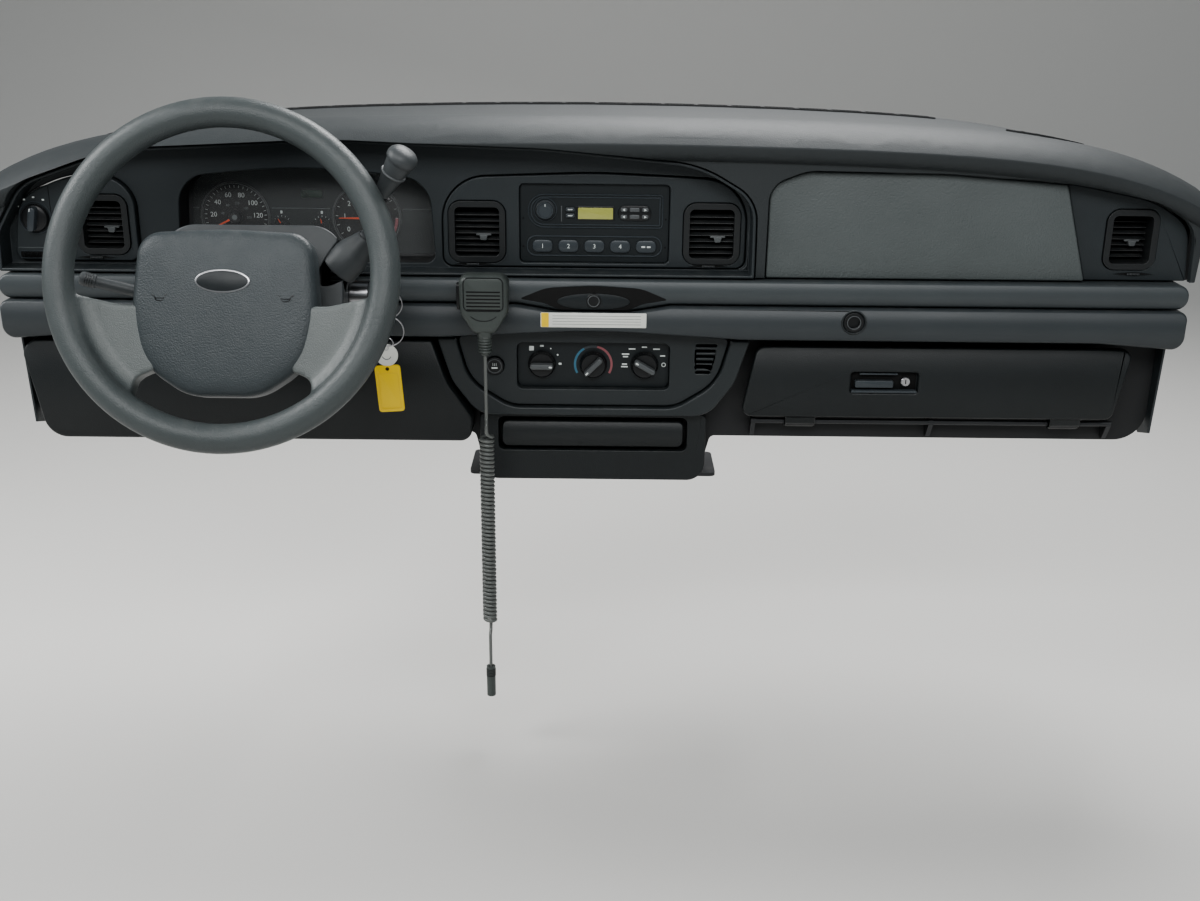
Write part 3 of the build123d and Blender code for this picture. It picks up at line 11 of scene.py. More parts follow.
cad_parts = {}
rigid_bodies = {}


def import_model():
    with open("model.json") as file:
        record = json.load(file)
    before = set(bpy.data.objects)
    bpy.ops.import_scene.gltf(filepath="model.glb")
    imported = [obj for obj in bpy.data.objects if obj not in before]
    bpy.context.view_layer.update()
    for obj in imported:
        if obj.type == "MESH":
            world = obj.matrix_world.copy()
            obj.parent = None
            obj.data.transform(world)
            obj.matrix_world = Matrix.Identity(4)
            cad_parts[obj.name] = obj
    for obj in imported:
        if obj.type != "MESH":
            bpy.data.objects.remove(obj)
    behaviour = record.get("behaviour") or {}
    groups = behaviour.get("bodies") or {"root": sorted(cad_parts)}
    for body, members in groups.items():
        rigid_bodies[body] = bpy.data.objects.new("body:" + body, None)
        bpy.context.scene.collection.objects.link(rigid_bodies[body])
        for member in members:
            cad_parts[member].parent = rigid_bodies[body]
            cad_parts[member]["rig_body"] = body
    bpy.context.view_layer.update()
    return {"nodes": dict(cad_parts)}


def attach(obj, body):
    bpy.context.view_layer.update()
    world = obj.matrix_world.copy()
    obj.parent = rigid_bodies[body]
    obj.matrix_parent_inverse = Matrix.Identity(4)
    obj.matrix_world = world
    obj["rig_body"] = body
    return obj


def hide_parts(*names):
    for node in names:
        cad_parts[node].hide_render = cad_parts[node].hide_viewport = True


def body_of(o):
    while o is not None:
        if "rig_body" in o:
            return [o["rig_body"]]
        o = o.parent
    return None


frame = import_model()

bl_info = {
    "name": "Patrol car instrument panel",
    "version": (1, 0, 0),
    "blender": (4, 5, 0),
    "location": "3D View > Sidebar > Panel",
    "description": "Dresses the packed instrument panel with its mouldings, grain, gauges and cord",
    "category": "Object",
}

MM = 0.001
DOWN = Vector((0, 0, -1))

# Frame of the steering wheel: across, up in its own plane, and towards the driver
COLUMN_SLOPE = math.radians(20.0)
WHEEL_CENTRE = Vector((-0.410, -0.380, 0.083))
WHEEL_UP = Vector((0, math.sin(COLUMN_SLOPE), math.cos(COLUMN_SLOPE)))
WHEEL_OUT = Vector((0, -math.cos(COLUMN_SLOPE), math.sin(COLUMN_SLOPE)))
WHEEL_AXES = Matrix((Vector((1, 0, 0)), WHEEL_UP, WHEEL_OUT)).transposed()
WHEEL = Matrix.Translation(WHEEL_CENTRE) @ WHEEL_AXES.to_4x4()
# Frame of a face that looks at the driver: x across, y up, z towards the driver
FACING = Matrix(((1, 0, 0, 0), (0, 0, -1, 0), (0, 1, 0, 0), (0, 0, 0, 1)))


# Sizes and colours a user would change

class StageSizes(bpy.types.PropertyGroup):
    floor_height: bpy.props.FloatProperty(
        name="Floor height", description="Height of the plain floor below the panel",
        default=-0.60, unit="LENGTH")
    floor_colour: bpy.props.FloatVectorProperty(
        name="Floor colour", description="Colour of the floor and backdrop",
        default=(0.62, 0.61, 0.59), subtype="COLOR", size=3)
    key_power: bpy.props.FloatProperty(
        name="Key light", description="Power of the large light above the windscreen edge",
        default=62.0, unit="POWER")
    fill_power: bpy.props.FloatProperty(
        name="Fill light", description="Power of the light behind the camera",
        default=52.0, unit="POWER")


class LeadSizes(bpy.types.PropertyGroup):
    diameter: bpy.props.FloatProperty(
        name="Diameter", description="Outside diameter of the microphone lead",
        default=0.0046, unit="LENGTH")
    coil_radius: bpy.props.FloatProperty(
        name="Coil radius", description="Radius of the curled stretch, to the middle of the lead",
        default=0.0076, unit="LENGTH")
    coil_turns: bpy.props.IntProperty(
        name="Coil turns", description="Turns of the curled stretch", default=46)


class PanelColours(bpy.types.PropertyGroup):
    tag: bpy.props.FloatVectorProperty(
        name="Key tag", description="Yellow of the key tag",
        default=(0.85, 0.60, 0.03), subtype="COLOR", size=3)


# Shader groups

DUST_COLOUR = (0.30, 0.29, 0.27, 1)
FINE_TOOTH = 2.6  # of the grain's scale


def new_group(name, inputs, outputs):
    """An empty shader group with its sockets; returns the tree and its two ends."""
    tree = bpy.data.node_groups.new(name, "ShaderNodeTree")
    for label, kind, value in inputs:
        socket = tree.interface.new_socket(name=label, in_out="INPUT", socket_type=kind)
        if value is not None:
            socket.default_value = value
    for label, kind in outputs:
        tree.interface.new_socket(name=label, in_out="OUTPUT", socket_type=kind)
    return tree, tree.nodes.new("NodeGroupInput"), tree.nodes.new("NodeGroupOutput")


def node(tree, kind, links=None, **values):
    """A node with its settings, socket values, and links from other sockets."""
    made = tree.nodes.new(kind)
    for key, value in values.items():
        setattr(made, key, value)
    for key, value in (links or {}).items():
        socket = made.inputs[key]
        if isinstance(value, bpy.types.NodeSocket):
            tree.links.new(value, socket)
        else:
            socket.default_value = value
    return made


def math_node(tree, operation, first, second):
    """A Math node's result."""
    return node(tree, "ShaderNodeMath", {0: first, 1: second}, operation=operation).outputs[0]


def pebble_group():
    """Moulded grain: rounded pebbles with valleys between them, over a finer tooth."""
    tree, given, result = new_group(
        "moulded_grain",
        [("Vector", "NodeSocketVector", None), ("Scale", "NodeSocketFloat", 900.0),
         ("Fine", "NodeSocketFloat", 0.3)],
        [("Height", "NodeSocketFloat")])
    place, scale = given.outputs["Vector"], given.outputs["Scale"]
    warp = node(tree, "ShaderNodeTexNoise", {"Vector": place, "Scale": 300.0, "Detail": 1.0})
    shifted = node(tree, "ShaderNodeVectorMath", {
        0: warp.outputs["Color"], "Scale": 0.0012}, operation="SCALE")
    spot = node(tree, "ShaderNodeVectorMath", {0: place, 1: shifted.outputs[0]}, operation="ADD")
    cells = node(tree, "ShaderNodeTexVoronoi", {
        "Vector": spot.outputs[0], "Scale": scale, "Smoothness": 0.7}, feature="SMOOTH_F1")
    finer = math_node(tree, "MULTIPLY", scale, FINE_TOOTH)
    tooth = node(tree, "ShaderNodeTexNoise", {"Vector": place, "Scale": finer, "Detail": 2.0})
    dome = math_node(tree, "SUBTRACT", 1.0, cells.outputs["Distance"])
    fine = math_node(tree, "MULTIPLY", tooth.outputs["Fac"], given.outputs["Fine"])
    tree.links.new(math_node(tree, "ADD", dome, fine), result.inputs["Height"])
    return tree


def tone_group():
    """Slow change of tone over a moulding, with pale dust on what faces up."""
    tree, given, result = new_group(
        "tone_and_dust",
        [("Vector", "NodeSocketVector", None), ("Color", "NodeSocketColor", None),
         ("Mottle", "NodeSocketFloat", 0.18), ("Dust", "NodeSocketFloat", 0.1)],
        [("Color", "NodeSocketColor"), ("Dust", "NodeSocketFloat")])
    place = given.outputs["Vector"]
    slow = node(tree, "ShaderNodeTexNoise", {"Vector": place, "Scale": 9.0, "Detail": 3.0})
    swing = math_node(tree, "MULTIPLY", math_node(tree, "SUBTRACT", slow.outputs["Fac"], 0.5),
                      given.outputs["Mottle"])
    factor = math_node(tree, "ADD", math_node(tree, "MULTIPLY", swing, 2.0), 1.0)
    toned = node(tree, "ShaderNodeVectorMath", {
        0: given.outputs["Color"], "Scale": factor}, operation="SCALE")
    facing = node(tree, "ShaderNodeSeparateXYZ", {0: node(tree, "ShaderNodeNewGeometry").outputs["Normal"]})
    upward = math_node(tree, "MAXIMUM", facing.outputs["Z"], 0.0)
    specks = node(tree, "ShaderNodeTexNoise", {"Vector": place, "Scale": 60.0, "Detail": 6.0})
    drift = node(tree, "ShaderNodeMapRange", {
        "Value": specks.outputs["Fac"], "From Min": 0.42, "From Max": 0.75})
    dust = math_node(tree, "MULTIPLY", math_node(tree, "MULTIPLY", upward, drift.outputs[0]),
                     given.outputs["Dust"])
    mixed = node(tree, "ShaderNodeMix", data_type="RGBA")
    tree.links.new(dust, mixed.inputs[0])
    tree.links.new(toned.outputs[0], mixed.inputs[6])
    mixed.inputs[7].default_value = DUST_COLOUR
    tree.links.new(mixed.outputs[2], result.inputs["Color"])
    tree.links.new(dust, result.inputs["Dust"])
    return tree


def gloss_group():
    """Roughness that wanders, with smoother rubbed patches."""
    tree, given, result = new_group(
        "rubbed_gloss",
        [("Vector", "NodeSocketVector", None), ("Roughness", "NodeSocketFloat", 0.5),
         ("Rubbed", "NodeSocketFloat", 0.1), ("Scale", "NodeSocketFloat", 14.0)],
        [("Roughness", "NodeSocketFloat")])
    patches = node(tree, "ShaderNodeTexNoise", {
        "Vector": given.outputs["Vector"], "Scale": given.outputs["Scale"], "Detail": 4.0})
    shift = math_node(tree, "MULTIPLY", math_node(tree, "SUBTRACT", patches.outputs["Fac"], 0.5),
                      given.outputs["Rubbed"])
    tree.links.new(math_node(tree, "ADD", given.outputs["Roughness"], shift), result.inputs["Roughness"])
    return tree


def crown_group():
    """Height of a face that bows outwards about a level, by the radius of the bow."""
    tree, given, result = new_group(
        "crowned_face",
        [("Vector", "NodeSocketVector", None), ("Middle", "NodeSocketFloat", 0.0),
         ("Radius", "NodeSocketFloat", 0.1)],
        [("Height", "NodeSocketFloat")])
    place = node(tree, "ShaderNodeSeparateXYZ", {0: given.outputs["Vector"]})
    away = math_node(tree, "SUBTRACT", place.outputs["Z"], given.outputs["Middle"])
    bow = math_node(tree, "DIVIDE", math_node(tree, "MULTIPLY", away, away), given.outputs["Radius"])
    tree.links.new(math_node(tree, "MULTIPLY", bow, -0.5), result.inputs["Height"])
    return tree


def spoke_group():
    """Mask that is 1 inside a radius about the wheel's axis and 0 beyond it."""
    tree, given, result = new_group(
        "inside_rim", [("Vector", "NodeSocketVector", None), ("Radius", "NodeSocketFloat", 0.1)],
        [("Mask", "NodeSocketFloat")])
    offset = node(tree, "ShaderNodeVectorMath", {
        0: given.outputs["Vector"], 1: tuple(WHEEL_CENTRE)}, operation="SUBTRACT")
    across = node(tree, "ShaderNodeVectorMath", {
        0: offset.outputs[0], 1: tuple(WHEEL_OUT)}, operation="CROSS_PRODUCT")
    reach = node(tree, "ShaderNodeVectorMath", {0: across.outputs[0]}, operation="LENGTH").outputs["Value"]
    beyond = math_node(tree, "SUBTRACT", reach, given.outputs["Radius"])
    mask = node(tree, "ShaderNodeMapRange", {
        "Value": beyond, "From Min": 0.004, "From Max": -0.004}, interpolation_type="SMOOTHSTEP")
    tree.links.new(mask.outputs[0], result.inputs["Mask"])
    return tree


GROUP_MAKERS = {"grain": pebble_group, "tone": tone_group, "gloss": gloss_group, "crown": crown_group,
                "spoke": spoke_group}
GROUPS = {}
FINISHES = {}
# The spokes inside this radius are painted paler than the rim, a painted highlight for the strong light on
# them
SPOKE_REACH = 0.158  # radius inside which the wheel is spoke and no longer rim
GRAIN_DEPTH = 0.0006
PLASTIC_IOR = 1.46


def grouped(tree, key, **values):
    """A shared shader group, made once and placed in a material with its own values."""
    if key not in GROUPS:
        GROUPS[key] = GROUP_MAKERS[key]()
    return node(tree, "ShaderNodeGroup", values, node_tree=GROUPS[key])


def finish(name, colour, rough=0.5, grain=0.0, scale=900.0, mottle=0.18, dust=0.08, rubbed=0.12,
           metallic=0.0, coat=0.0, crown=None, spoke_highlight=None):
    """A procedural material: toned base colour, wandering gloss and moulded grain."""
    if name in FINISHES:
        return FINISHES[name]
    material = bpy.data.materials.new(name)
    material.use_nodes = True
    tree = material.node_tree
    shader = tree.nodes["Principled BSDF"]
    place = node(tree, "ShaderNodeTexCoord").outputs["Object"]
    tone = grouped(tree, "tone", Vector=place, Color=(*colour, 1), Mottle=mottle, Dust=dust)
    tree.links.new(tone.outputs["Color"], shader.inputs["Base Color"])
    # Inside the spoke radius the colour turns paler: a painted highlight for the strong light on the spokes
    if spoke_highlight:
        inside = grouped(tree, "spoke", Vector=place, Radius=SPOKE_REACH)
        mixed = node(tree, "ShaderNodeMix", {
            0: inside.outputs[0], 6: (*colour, 1), 7: (*spoke_highlight, 1)}, data_type="RGBA")
        tree.links.new(mixed.outputs[2], tone.inputs["Color"])
    gloss = grouped(tree, "gloss", Vector=place, Roughness=rough, Rubbed=rubbed)
    tree.links.new(gloss.outputs["Roughness"], shader.inputs["Roughness"])
    if grain:
        pebbles = grouped(tree, "grain", Vector=place, Scale=scale)
        bump = node(tree, "ShaderNodeBump", {
            "Height": pebbles.outputs["Height"], "Strength": grain, "Distance": GRAIN_DEPTH})
        tree.links.new(bump.outputs["Normal"], shader.inputs["Normal"])
        if crown:
            middle, radius = crown
            bow = grouped(tree, "crown", Vector=place, Middle=middle, Radius=radius)
            bowed = node(tree, "ShaderNodeBump", {"Height": bow.outputs[0], "Strength": 1.0, "Distance": 1.0})
            tree.links.new(bowed.outputs["Normal"], bump.inputs["Normal"])
    shader.inputs["Metallic"].default_value = metallic
    shader.inputs["Coat Weight"].default_value = coat
    shader.inputs["IOR"].default_value = PLASTIC_IOR
    FINISHES[name] = material
    return material


def dress(names, material):
    """Gives CAD nodes their material."""
    for name in names:
        mesh = frame["nodes"][name].data
        mesh.materials.clear()
        mesh.materials.append(material)


# Making pieces

def add_piece(name, mesh, body, material, replaces):
    """Links a finished mesh at the origin as a piece of the object."""
    obj = bpy.data.objects.new(name, mesh)
    bpy.context.scene.collection.objects.link(obj)
    if material is not None:
        mesh.materials.clear()
        mesh.materials.append(material)
    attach(obj, body)
    if replaces:
        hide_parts(*replaces)
    return obj


def soft_shade(mesh, angle):
    """Smooth shading that keeps edges sharper than the angle."""
    mesh.shade_smooth()
    mesh.set_sharp_from_angle(angle=math.radians(angle))


def evaluated_mesh(obj):
    """The plain mesh of an object with its modifiers or its curve worked out."""
    bpy.context.view_layer.update()
    graph = bpy.context.evaluated_depsgraph_get()
    return bpy.data.meshes.new_from_object(obj.evaluated_get(graph), depsgraph=graph)


BODY_OF = {name: body_of(obj)[0] for name, obj in frame["nodes"].items()}
WELD = 0.00002  # distance within which corners are one
FLAT_ANGLE = 0.7  # degrees within which faces are joined up
EDGE_ANGLE = 40.0  # degrees from which an edge is rounded, or stays sharp in the shading
EDGE_SHARE = 0.48  # of an edge that the rounding of one corner may take


def welded(name, join=True):
    """A copy of a CAD node's mesh, with its corners welded and its flat faces joined up."""
    mesh = frame["nodes"][name].data.copy()
    work = bmesh.new()
    work.from_mesh(mesh)
    bmesh.ops.remove_doubles(work, verts=work.verts, dist=WELD)
    if join:
        bmesh.ops.dissolve_limit(work, angle_limit=math.radians(FLAT_ANGLE), verts=work.verts,
                                 edges=work.edges)
    work.to_mesh(mesh)
    work.free()
    return mesh


def worked_out(mesh, *stack):
    """The mesh after a stack of modifiers, each given as its kind and settings."""
    source = bpy.data.objects.new("source", mesh)
    bpy.context.scene.collection.objects.link(source)
    for kind, settings in stack:
        modifier = source.modifiers.new(kind, kind)
        for key, value in settings.items():
            setattr(modifier, key, value)
    made = evaluated_mesh(source)
    bpy.data.objects.remove(source)
    bpy.data.meshes.remove(mesh)
    return made


def eased(name, width, material, segments=3, join=True):
    """The CAD node with its sharp edges rounded, as a piece in its place."""
    rounding = {"width": width, "segments": segments, "limit_method": "ANGLE",
                "angle_limit": math.radians(EDGE_ANGLE), "use_clamp_overlap": False}
    mesh = welded(name, join)
    mesh.shade_smooth()
    mesh = worked_out(mesh, ("BEVEL", rounding), ("WEIGHTED_NORMAL", {"weight": 100, "keep_sharp": True}))
    mesh.name = name
    return add_piece(name + "_eased", mesh, BODY_OF[name], material, [name])


def blended(name, voxel, passes, material):
    """The CAD node as one soft skin, with its inner corners filled."""
    mesh = worked_out(welded(name), ("REMESH", {"mode": "VOXEL", "voxel_size": voxel}),
                      ("SMOOTH", {"factor": 0.5, "iterations": passes}))
    mesh.name = name
    mesh.shade_smooth()
    return add_piece(name + "_skin", mesh, BODY_OF[name], material, [name])


def filleted(rows, steps=8):
    """Points round an outline given as rows of corner x, corner y and corner radius."""
    points = []
    for index, (x, y, radius) in enumerate(rows):
        corner = Vector((x, y))
        before = Vector(rows[index - 1][:2]) - corner
        after = Vector(rows[(index + 1) % len(rows)][:2]) - corner
        half = before.angle(after) / 2
        reach = min(radius / math.tan(half), EDGE_SHARE * min(before.length, after.length))
        if reach < 1e-6 or half > 1.57:  # no radius, or no corner
            points.append(corner)
            continue
        before.normalize()
        after.normalize()
        bend = reach * math.tan(half)
        middle = corner + (before + after).normalized() * bend / math.sin(half)
        start = corner + before * reach - middle
        turn = math.pi - 2 * half
        side = 1 if before.cross(after) < 0 else -1
        for step in range(steps + 1):
            points.append(middle + Matrix.Rotation(side * turn * step / steps, 2) @ start)
    return points


def skin(rings, loop=False):
    """A closed mesh through rings of equal point counts, capped at its ends or run round in a loop."""
    count = len(rings[0])
    verts = [tuple(point) for ring in rings for point in ring]
    faces = []
    for row in range(len(rings) if loop else len(rings) - 1):
        for index in range(count):
            after = (index + 1) % count
            low, high = row * count, (row + 1) % len(rings) * count
            faces.append((low + index, low + after, high + after, high + index))
    if not loop:
        faces.append(tuple(reversed(range(count))))
        faces.append(tuple(range(len(verts) - count, len(verts))))
    mesh = bpy.data.meshes.new("skin")
    mesh.from_pydata(verts, [], faces)
    work = bmesh.new()
    work.from_mesh(mesh)
    bmesh.ops.recalc_face_normals(work, faces=work.faces)
    work.to_mesh(mesh)
    work.free()
    return mesh


def smooth_step(share):
    """0 to 1 with soft ends."""
    share = min(max(share, 0.0), 1.0)
    return share * share * (3 - 2 * share)


# Geometry nodes

def repeat_tree(kind):
    """Geometry nodes that repeat a mesh in a row, or round its own middle."""
    name = "repeat_" + kind
    if name in bpy.data.node_groups:
        return bpy.data.node_groups[name]
    tree = bpy.data.node_groups.new(name, "GeometryNodeTree")
    for label, socket_kind in (("Geometry", "NodeSocketGeometry"), ("Count", "NodeSocketInt"),
                               ("Start", "NodeSocketVector"), ("Step", "NodeSocketVector"),
                               ("Material", "NodeSocketMaterial")):
        tree.interface.new_socket(name=label, in_out="INPUT", socket_type=socket_kind)
    tree.interface.new_socket(name="Geometry", in_out="OUTPUT", socket_type="NodeSocketGeometry")
    given, result = tree.nodes.new("NodeGroupInput"), tree.nodes.new("NodeGroupOutput")
    line = tree.nodes.new("GeometryNodeMeshLine")
    copies = tree.nodes.new("GeometryNodeInstanceOnPoints")
    tree.links.new(given.outputs["Count"], line.inputs["Count"])
    tree.links.new(line.outputs[0], copies.inputs["Points"])
    tree.links.new(given.outputs["Geometry"], copies.inputs["Instance"])
    if kind == "row":
        tree.links.new(given.outputs["Start"], line.inputs["Start Location"])
        tree.links.new(given.outputs["Step"], line.inputs["Offset"])
    else:
        line.inputs["Offset"].default_value = (0, 0, 0)
        index = tree.nodes.new("GeometryNodeInputIndex")
        turned = node(tree, "ShaderNodeVectorMath", {
            0: given.outputs["Step"], "Scale": index.outputs[0]}, operation="SCALE")
        summed = node(tree, "ShaderNodeVectorMath", {
            0: turned.outputs[0], 1: given.outputs["Start"]}, operation="ADD")
        angle = node(tree, "FunctionNodeEulerToRotation", {0: summed.outputs[0]})
        tree.links.new(angle.outputs[0], copies.inputs["Rotation"])
    real = node(tree, "GeometryNodeRealizeInstances", {0: copies.outputs[0]})
    painted = node(tree, "GeometryNodeSetMaterial", {
        "Geometry": real.outputs[0], "Material": given.outputs["Material"]})
    tree.links.new(painted.outputs[0], result.inputs[0])
    return tree


def repeated(mesh, kind, count, step, material, start):
    """The mesh repeated by one of the trees; a round step and start are turns about each axis."""
    tree = repeat_tree(kind)
    sockets = {item.name: item.identifier for item in tree.interface.items_tree if item.in_out == "INPUT"}
    source = bpy.data.objects.new("source", mesh)
    bpy.context.scene.collection.objects.link(source)
    modifier = source.modifiers.new("repeat", "NODES")
    modifier.node_group = tree
    modifier[sockets["Count"]] = count
    modifier[sockets["Start"]] = start
    modifier[sockets["Step"]] = step
    modifier[sockets["Material"]] = material
    made = evaluated_mesh(source)
    source.modifiers.clear()
    bpy.data.objects.remove(source)
    bpy.data.meshes.remove(mesh)
    return made


# Small parts, in millimetres, drawn on a face whose z points at the viewer

AXIS_FLAT, ARC_STEPS = 0.02, 24
LETTER_DEPTH, LETTER_WELD = 0.25, 0.001


def inset(points, amount):
    """The outline moved inwards by an amount."""
    area = sum(a.x * b.y - b.x * a.y for a, b in zip(points, points[1:] + points[:1]))
    side = 1 if area > 0 else -1
    moved = []
    for index, point in enumerate(points):
        before, after = point - points[index - 1], points[(index + 1) % len(points)] - point
        if before.length < 1e-9 or after.length < 1e-9:
            moved.append(point.copy())
            continue
        mean = (before.normalized() + after.normalized()).normalized()
        normal = Vector((-mean.y, mean.x)) * side
        moved.append(point + normal * amount / max(0.5, mean.dot(after.normalized())))
    return moved


def circle(radius, steps=40):
    """Points round a circle."""
    return [Vector((radius * math.cos(math.tau * k / steps), radius * math.sin(math.tau * k / steps)))
            for k in range(steps)]


def box_rows(x, y, width, height, radius):
    """Corner rows of a rounded rectangle."""
    half_w, half_h = width / 2, height / 2
    return [(x + dx, y + dy, radius) for dx, dy in ((-half_w, -half_h), (half_w, -half_h),
                                                    (half_w, half_h), (-half_w, half_h))]


def plate(points, depth, edge):
    """A plate with that outline and a rounded front edge, or a sharp one where edge is 0."""
    section = [(0, 0), (0, depth - edge)]
    if edge:
        section += [(edge * 0.3, depth - edge * 0.3), (edge, depth)]
    return skin([[(*p, height) for p in inset(points, amount)] for amount, height in section])


def tile(x, y, width, height, radius, depth, edge=0.4, turn=0.0):
    """A rounded rectangular plate, turned by degrees about its middle."""
    spin = Matrix.Rotation(math.radians(turn), 2)
    return plate([spin @ p + Vector((x, y)) for p in filleted(box_rows(0, 0, width, height, radius), 4)],
                 depth, edge)


def ridge(points, width, depth):
    """A raised frame that follows the outline, with its two front edges chamfered."""
    slant = depth * 0.4
    section = [(0, 0), (0, depth - slant), (slant, depth), (width - slant, depth), (width, depth - slant),
               (width, 0)]
    return skin([[(*p, height) for p in inset(points, amount)] for amount, height in section], loop=True)


def lathe(profile, steps=40):
    """A turned part from rows of radius and height; one that ends on the axis ends in a tiny flat."""
    rings = []
    for radius, height in profile:
        rings.append([(*(p * max(radius, AXIS_FLAT)), height) for p in circle(1.0, steps)])
    return skin(rings)


def oval(half_width, half_height, up=0.0):
    """Points round an oval."""
    return [Vector((half_width * p.x, up + half_height * p.y)) for p in circle(1.0, 56)]


def arc_band(inner, outer, start, end, depth):
    """A flat band along an arc, between two angles in degrees."""
    angles = [math.radians(start + (end - start) * k / ARC_STEPS) for k in range(ARC_STEPS + 1)]
    points = [Vector((outer * math.cos(a), outer * math.sin(a))) for a in angles]
    points += [Vector((inner * math.cos(a), inner * math.sin(a))) for a in reversed(angles)]
    return plate(points, depth, 0.0)


def stroke(start, end, width, depth):
    """A straight line in relief."""
    a, b = Vector(start), Vector(end)
    aside = (b - a).normalized().orthogonal() * width / 2
    return plate([a - aside, b - aside, b + aside, a + aside], depth, 0.0)


def letters(text, size):
    """Figures as a thin solid mesh, centred."""
    curve = bpy.data.curves.new("letters", "FONT")
    curve.body = text
    curve.size = size
    curve.align_x, curve.align_y = "CENTER", "CENTER"
    curve.extrude = LETTER_DEPTH / 2
    curve.resolution_u = 3
    source = bpy.data.objects.new("letters", curve)
    bpy.context.scene.collection.objects.link(source)
    mesh = evaluated_mesh(source)
    bpy.data.objects.remove(source)
    work = bmesh.new()
    work.from_mesh(mesh)
    bmesh.ops.remove_doubles(work, verts=work.verts, dist=LETTER_WELD)
    work.to_mesh(mesh)
    work.free()
    return mesh


def placed(x, y, z):
    """A face at this point of the car that looks at the driver."""
    return Matrix.Scale(MM, 4) @ Matrix.Translation((x, y, z)) @ FACING


def on_front(place, front):
    """A face that looks at the driver, at this place across and up, on a front."""
    return placed(place[0], front, place[1])


def level(x=0.0, y=0.0, z=0.0):
    """A level face at this point of the car, seen from above."""
    return Matrix.Scale(MM, 4) @ Matrix.Translation((x, y, z))


def aimed(point, direction):
    """A face at that point whose z runs in that direction."""
    return level(*point) @ Vector(direction).to_track_quat("Z", "Y").to_matrix().to_4x4()


def on_wheel(x, up, out):
    """A face on the steering wheel."""
    return WHEEL @ level(x, up, out)


def turned(degrees):
    """A turn about the face's own axis."""
    return Matrix.Rotation(math.radians(degrees), 4, "Z")


def along(radius, degrees):
    """A point at that radius and angle on a face."""
    return radius * math.cos(math.radians(degrees)), radius * math.sin(math.radians(degrees))


def torus(radius, wire, steps=40, sides=10):
    """A round ring of round wire."""
    rings = []
    for step in range(steps):
        angle = math.tau * step / steps
        rings.append([((radius + p.x) * math.cos(angle), (radius + p.x) * math.sin(angle), p.y)
                      for p in circle(wire, sides)])
    return skin(rings, loop=True)


class Piece:
    """Parts joined into one mesh, each with its own material."""

    def __init__(self, name, body, slot, replaces=()):
        self.name, self.body, self.slot, self.gone = name, body, slot, replaces
        self.work = bmesh.new()
        self.materials = []

    def add(self, mesh, material, place, x=0.0, y=0.0, z=0.0):
        """Puts a part on a face, at x and y of it and raised by z."""
        if material not in self.materials:
            self.materials.append(material)
        mesh.transform(place @ Matrix.Translation((x, y, z)))
        index = self.materials.index(material)
        for face in mesh.polygons:
            face.material_index = index
        self.work.from_mesh(mesh)
        bpy.data.meshes.remove(mesh)

    def row(self, mesh, count, step, start, material, place, lift=0.0):
        """Puts copies of a part in a row, from the place of the first by the step to the next."""
        self.add(repeated(mesh, "row", count, step, material, start), material, place, z=lift)

    def ring(self, mesh, count, material, place, turn=None, start=0.0):
        """Puts copies of a part round a face's middle, evenly or each a turn in degrees further."""
        step = math.tau / count if turn is None else math.radians(turn)
        copies = repeated(mesh, "round", count, (0, 0, step), material, (0, 0, math.radians(start)))
        self.add(copies, material, place)

    def close(self):
        """Links the joined mesh as a piece."""
        mesh = bpy.data.meshes.new(self.name)
        for material in self.materials:
            mesh.materials.append(material)
        self.work.to_mesh(mesh)
        self.work.free()
        soft_shade(mesh, EDGE_ANGLE)
        add_piece(self.name, mesh, self.body, None, self.gone)


# Sizes of the model the details sit on, in millimetres
DIAL_FACE, DIAL_HEIGHT = -78.0, 96.5
RADIO_FACE, CENTRE_FACE, CLIMATE_FACE = -135.0, -141.0, -147.0
SWITCH_FACE, END_FACE, RAIL_FACE, BAND_FACE = -146.0, -156.0, -176.0, -182.0
# Painted shade in the dark recess on the rail: corner x, corner y, corner radius
EYE = [(-94, 13, 1), (-62, 7.6, 30), (-44, -0.6, 20), (44, -0.6, 20), (62, 7.6, 30), (94, 13, 1),
       (60, 27.5, 60), (0, 30, 300), (-60, 27.5, 60)]
# x, z, face of the panel round it, height of its thumb wheel, and how far that wheel lies to the left
VENTS = [(-622, 96, SWITCH_FACE, 54.2, 12), (-149, 91, CENTRE_FACE, 49.6, 6),
         (149, 91, CENTRE_FACE, 49.6, 3), (676, 92, END_FACE, 48.6, -8)]
# Hub of the steering wheel: corner x, corner y, corner radius
HUB = [(-104, -40, 160), (-91, -100, 70), (-40, -134, 60), (40, -134, 60), (91, -100, 70), (104, -40, 160),
       (97, 49, 28), (0, 54, 500), (-97, 49, 28)]
HUB_HALF, HUB_MIDDLE = 104.0, (0, -40)
HUB_SECTION = [(4.0, -42.0), (0.5, -39.5), (0.0, -36.0), (0.0, -16.0), (0.8, -12.5), (3.0, -9.4), (6.5, -7.2),
               (12.0, -5.6), (22.0, -4.4), (38.0, -3.4), (58.0, -2.7), (78.0, -2.3), (94.0, -2.2)]


def domed(outline, section, middle, half):
    """Rings of an outline drawn in by each row's inset, at each row's height."""
    centre = Vector(middle)
    rings = []
    for amount, height in section:
        share = 1 - amount / half
        rings.append([(*((point - centre) * share + centre), height) for point in outline])
    return rings


